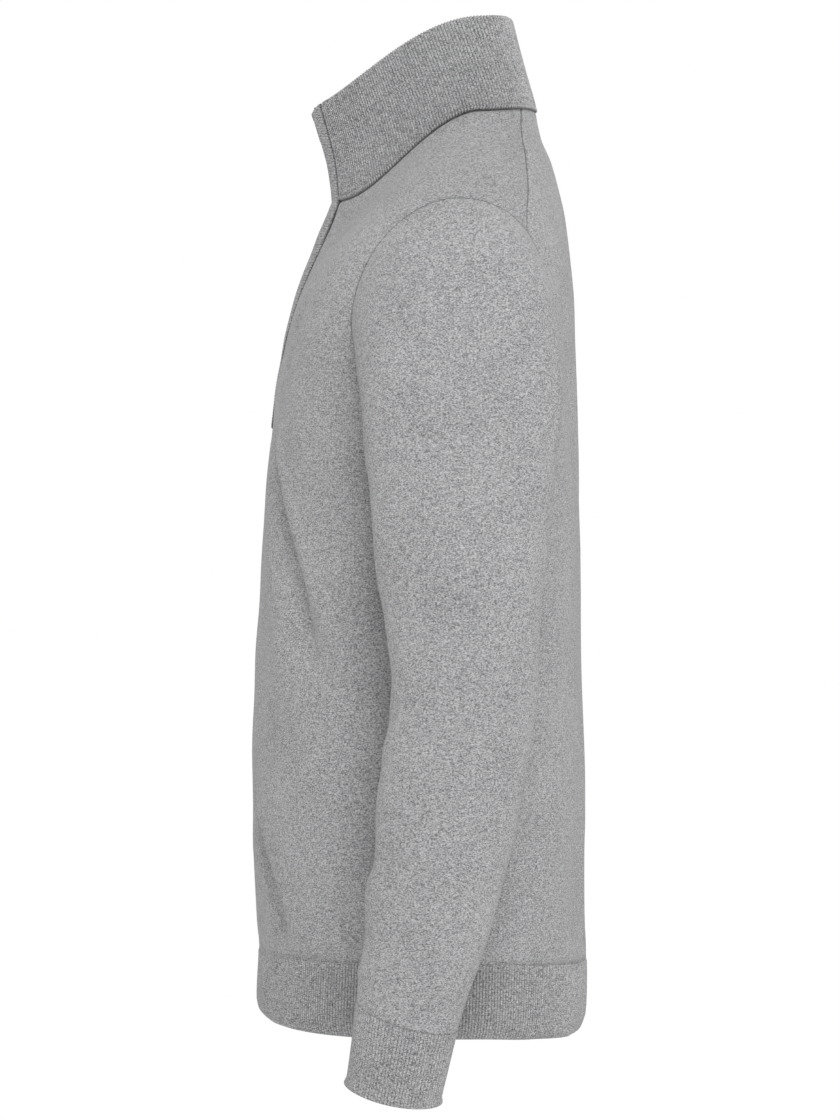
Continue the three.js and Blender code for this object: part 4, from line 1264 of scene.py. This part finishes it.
def zip_frame(level, x=0.0, outward=0.0):
    """The zip's own directions at a level: across it to the left, up along it and straight out."""
    low, high = np.clip([level - 1, level + 1], ZIP_END, ZIP_TOP)
    ends = zip_point(BAND_MOUTH, np.array([low, high]), 0.0)
    ends[:, 0] = 0
    up = Vector(ends[1] - ends[0]).normalized()
    left = Vector((1, 0, 0))
    out = left.cross(up)
    at = zip_point(BAND_MOUTH, np.array([level]), 0.0)[0]
    centre = Vector((x, at[1], at[2])) + out * outward
    return axes(centre, left, up, out), centre, left, up, out


# %% The teeth
TOOTH_PITCH = 1.7
SLIDER_HEIGHT = 64.0
tooth = block((2.9, 1.1, 1.5), 0.3, 2)
tooth_levels = zip_levels(ZIP_END + 3, ZIP_TOP - 3, TOOTH_PITCH / 2)
frames = []
for k, level in enumerate(tooth_levels):
    side = 1 if k % 2 == 0 else -1
    frames.append(zip_frame(level, side * 0.75, 0.45 - TAPE_FRONT)[0])
teeth = repeated("zip_teeth", tooth, frames, TOOTH)

# %% [markdown]
# ## Slider and pull
#
# The slider is a small cast channel with two cheeks that hold the pull. The pull is a flat tab with a
# slot, and it turns about its upper end, so it rides on a body of its own. Both follow the frame's
# solids, with rounded edges.

# %% Build the slider and its pull
def plate(name, outline, thickness, place, finish, hole=None, bevel=0.22):
    """A flat plate cut from an outline in millimetres, its middle at the place's own origin."""
    bm = bmesh.new()
    corners = [bm.verts.new((x * MM, y * MM, -thickness / 2 * MM)) for x, y in outline]
    face = bm.faces.new(corners)
    if hole:
        ring = [bm.verts.new((x * MM, y * MM, -thickness / 2 * MM)) for x, y in hole]
        edges = [bm.edges.new((ring[i], ring[i - 1])) for i in range(len(ring))]
        edges += list(face.edges)
        bmesh.ops.delete(bm, geom=[face], context="FACES_ONLY")
        bmesh.ops.triangle_fill(bm, use_beauty=True, use_dissolve=False, edges=edges)
    raised = bmesh.ops.extrude_face_region(bm, geom=bm.faces[:])
    new = [v for v in raised["geom"] if isinstance(v, bmesh.types.BMVert)]
    bmesh.ops.translate(bm, vec=(0, 0, thickness * MM), verts=new)
    bmesh.ops.recalc_face_normals(bm, faces=bm.faces)
    sharp = [e for e in bm.edges if len(e.link_faces) == 2 and e.calc_face_angle(0) > math.radians(40)]
    bmesh.ops.bevel(
        bm, geom=sharp, offset=bevel * MM, offset_type="OFFSET", segments=2, profile=0.5,
        affect="EDGES", material=-1,
    )
    bmesh.ops.transform(bm, matrix=place, verts=bm.verts)
    bmesh.ops.recalc_face_normals(bm, faces=bm.faces)
    return add_object(name, finished_mesh(name, bm), finish)


def round_ended(half_width, top, bottom, steps=6):
    turns = [math.pi * k / steps for k in range(steps + 1)]
    upper = [(half_width * math.cos(t), top - half_width + half_width * math.sin(t)) for t in turns]
    lower = [(-half_width * math.cos(t), bottom + half_width - half_width * math.sin(t)) for t in turns]
    return upper + lower


slider_level = NECK + SLIDER_HEIGHT
_, centre, left, up, out = zip_frame(slider_level)
SLIDER_HALF = 4.5
BASE_BEHIND = 1.85  # how far behind the zip's face the base lies
CHEEK_BEHIND = 0.4
CHEEK_ASIDE = 2.4
half_base = [(2.6, -SLIDER_HALF), (3.8, 1.5), (3.4, SLIDER_HALF)]
base_outline = half_base + [(-x, y) for x, y in half_base[::-1]]
base_place = axes(centre - out * BASE_BEHIND, left, up, out)
parts = [plate("slider_base", base_outline, 1.1, base_place, GUNMETAL, bevel=0.3)]
cheek = [(-3.2, -0.9), (-2.4, 0.7), (-0.6, 0.9), (3.0, 0.9), (3.6, 0.2), (3.8, -0.9)]
for side in (1, -1):
    across = axes(centre - out * CHEEK_BEHIND + left * (CHEEK_ASIDE * side), up, out, left)
    parts.append(plate("slider_cheek", cheek, 1.0, across, GUNMETAL, bevel=0.25))


def joined(name, objects):
    bm = bmesh.new()
    for made in objects:
        bm.from_mesh(made.data)
    mesh = finished_mesh(name, bm)
    finish = objects[0].data.materials[0]
    for made in objects:
        bpy.data.objects.remove(made)
    return add_object(name, mesh, finish)


slider = joined("slider_cast", parts)
PULL_RISE = 2.0
PULL_OUT = -0.3
half_tab = [(1.5, 0.5), (1.5, -7), (2.4, -9), (2.4, -18.8), (1.6, -20.6), (0.6, -21)]
tab = half_tab + [(-x, y) for x, y in half_tab[::-1]]
slot_hole = [(x, y - 14.5) for x, y in round_ended(1.0, 3.5, -3.5)]
pull_place = axes(centre + out * PULL_OUT + up * PULL_RISE, left, up, out)
pull = plate("pull_tab", tab, 1.0, pull_place, GUNMETAL, hole=slot_hole, bevel=0.2)
print("the slider stands", round(slider_level - NECK), "mm up the collar")

# %% [markdown]
# ## The stitches of the collar seam
#
# A linked seam shows as a row of plump stitches round the foot of the collar, like a fine cord. One
# stitch is a small squashed ball, turned a little, and there is one to each rib.

# %% Collar seam stitches
def stitch_unit(length, width, rise):
    bm = bmesh.new()
    bmesh.ops.create_icosphere(bm, subdivisions=1, radius=0.5)
    bmesh.ops.scale(bm, vec=(length * MM, width * MM, rise * MM), verts=bm.verts)
    for face in bm.faces:
        face.smooth = True
    return finished_mesh("stitch", bm)


def stitch_row(name, point_at, start, end, pitch, unit_mesh, tilt, finish):
    """Stitches along a curve that a function of one number gives, with the function's own normals."""
    curve = lambda a: point_at(a)[0]
    count = round(even_angles(curve, start, end, 1)[1] / pitch)
    places = even_angles(curve, start, end, count)[0]
    points, normals = point_at(places)
    ways = unit(np.gradient(points, axis=0))
    frames = []
    for point, normal, way in zip(points, normals, ways):
        n, w = Vector(normal).normalized(), Vector(way)
        side = n.cross(w).normalized()
        turned = (w * math.cos(tilt) + side * math.sin(tilt)).normalized()
        frames.append(axes(point, turned, n.cross(turned), n))
    return repeated(name, unit_mesh, frames, finish)


YARN_PALE = (0.72, 0.72, 0.73, 1)
YARN_DARK = (0.28, 0.28, 0.285, 1)
SEAM_YARN = knit("seam yarn", 0.002, 0.002, 0.00008, pale=YARN_PALE, dark=YARN_DARK)
STITCH_LEVEL = 2.4  # height of the stitches' middle on the collar
STITCH_PROUD = 0.35
STITCH_TILT = math.radians(66)


def collar_seam_at(angle):
    level = np.full_like(angle, STITCH_LEVEL)
    return collar_point(angle, level, -STITCH_PROUD), ring_normal(COLLAR_RINGS, angle, level)


seam_start = float(angle_at(COLLAR_RINGS, 2.0, BAND_EDGE + 1))
stitch = stitch_unit(3.7, 1.35, 1.5)
collar_seam = stitch_row(
    "collar_seam_stitches", collar_seam_at, seam_start, 360 - seam_start, RIB, stitch, STITCH_TILT, SEAM_YARN
)

# %% [markdown]
# ## What each piece rides on and stands for
#
# All cloth is one body, because it moves only with its wearer. The pull is the only part that turns.

# %% Say what rides on what
SWEATER, PULL = "sweater", "pull"
stands_for = [
    (front, "front", "jersey"),
    (back, "back", "jersey"),
    (sleeve_left, "sleeve_left", "jersey"),
    (sleeve_right, "sleeve_right", "jersey"),
    (cuff_left, "cuff_left", "rib"),
    (cuff_right, "cuff_right", "rib"),
    (hem_front, "hem_front", "rib"),
    (hem_back, "hem_back", "rib"),
    (collar, "collar", "rib"),
    (band_left, "placket_left", "rib"),
    (band_right, "placket_right", "rib"),
    (tape_left, "zip_tape_left", "tape"),
    (tape_right, "zip_tape_right", "tape"),
    (slider, "zip_slider", "metal"),
    (pull, "zip_pull", "metal"),
]
for piece, node, finish_slot in stands_for:
    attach(piece, PULL if piece is pull else SWEATER)
    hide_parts(node)
for piece, finish_slot in ((teeth, "metal"), (collar_seam, "rib")):
    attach(piece, SWEATER)

# %% [markdown]
# ## Studio
#
# A pale floor and a white surround, with large soft lamps: one beside the camera and above it, and
# weaker ones round the other sides, so that folds stay soft but still show.

# %% Floor and light
FLOOR_DROP = 0.4
floor_level = cad_box[0][2] - FLOOR_DROP
bm = bmesh.new()
bmesh.ops.create_grid(bm, x_segments=1, y_segments=1, size=60)
bmesh.ops.translate(bm, vec=(0, 0, floor_level), verts=bm.verts)
floor_mesh = finished_mesh("floor", bm)
paper, paper_tree, paper_shader = new_material("white paper")
paper_shader.inputs["Base Color"].default_value = (0.9, 0.9, 0.9, 1)
paper_shader.inputs["Roughness"].default_value = 0.9
spot = paper_tree.nodes.new("ShaderNodeTexCoord")
reach = paper_tree.nodes.new("ShaderNodeVectorMath")
reach.operation = "LENGTH"
paper_tree.links.new(spot.outputs["Object"], reach.inputs[0])
far = paper_tree.nodes.new("ShaderNodeMapRange")
far.inputs["From Min"].default_value = 0.5
far.inputs["From Max"].default_value = 1.6
paper_tree.links.new(reach.outputs["Value"], far.inputs["Value"])
glow = paper_tree.nodes.new("ShaderNodeEmission")
fade = paper_tree.nodes.new("ShaderNodeMixShader")
paper_tree.links.new(far.outputs["Result"], fade.inputs[0])
paper_tree.links.new(paper_shader.outputs[0], fade.inputs[1])
paper_tree.links.new(glow.outputs[0], fade.inputs[2])
paper_tree.links.new(fade.outputs[0], paper_tree.nodes["Material Output"].inputs["Surface"])
floor = add_object("floor", floor_mesh, paper)

world = bpy.data.worlds.new("surround")
bpy.context.scene.world = world
world.use_nodes = True
tree = world.node_tree
surround = tree.nodes["Background"]
surround.inputs["Color"].default_value = (1, 1, 1, 1)
surround.inputs["Strength"].default_value = 0.45
seen = tree.nodes.new("ShaderNodeBackground")
seen.inputs["Color"].default_value = (1, 1, 1, 1)
seen.inputs["Strength"].default_value = 1.0
rays = tree.nodes.new("ShaderNodeLightPath")
choose = tree.nodes.new("ShaderNodeMixShader")
tree.links.new(rays.outputs["Is Camera Ray"], choose.inputs[0])
tree.links.new(surround.outputs[0], choose.inputs[1])
tree.links.new(seen.outputs[0], choose.inputs[2])
tree.links.new(choose.outputs[0], tree.nodes["World Output"].inputs["Surface"])


def lamp(name, place, size, power):
    data = bpy.data.lights.new(name, "AREA")
    data.shape = "SQUARE"
    data.size = size
    data.energy = power
    made = bpy.data.objects.new(name, data)
    made.location = place
    aim = Vector((0, 0, -0.25)) - Vector(place)
    made.rotation_euler = aim.to_track_quat("-Z", "Y").to_euler()
    bpy.context.scene.collection.objects.link(made)


lamp("key", (3.1, 0.5, 1.3), 1.4, 68)
lamp("front fill", (-0.4, -3.2, 0.8), 1.8, 19)
lamp("back fill", (-0.4, 3.2, 0.8), 1.8, 20)
lamp("far side", (-3.0, -0.4, 1.2), 1.8, 24)
lamp("top", (0.0, 0.0, 2.8), 2.0, 16)
bpy.context.scene.view_settings.view_transform = "Standard"
print("the floor lies at", round(floor_level, 3))
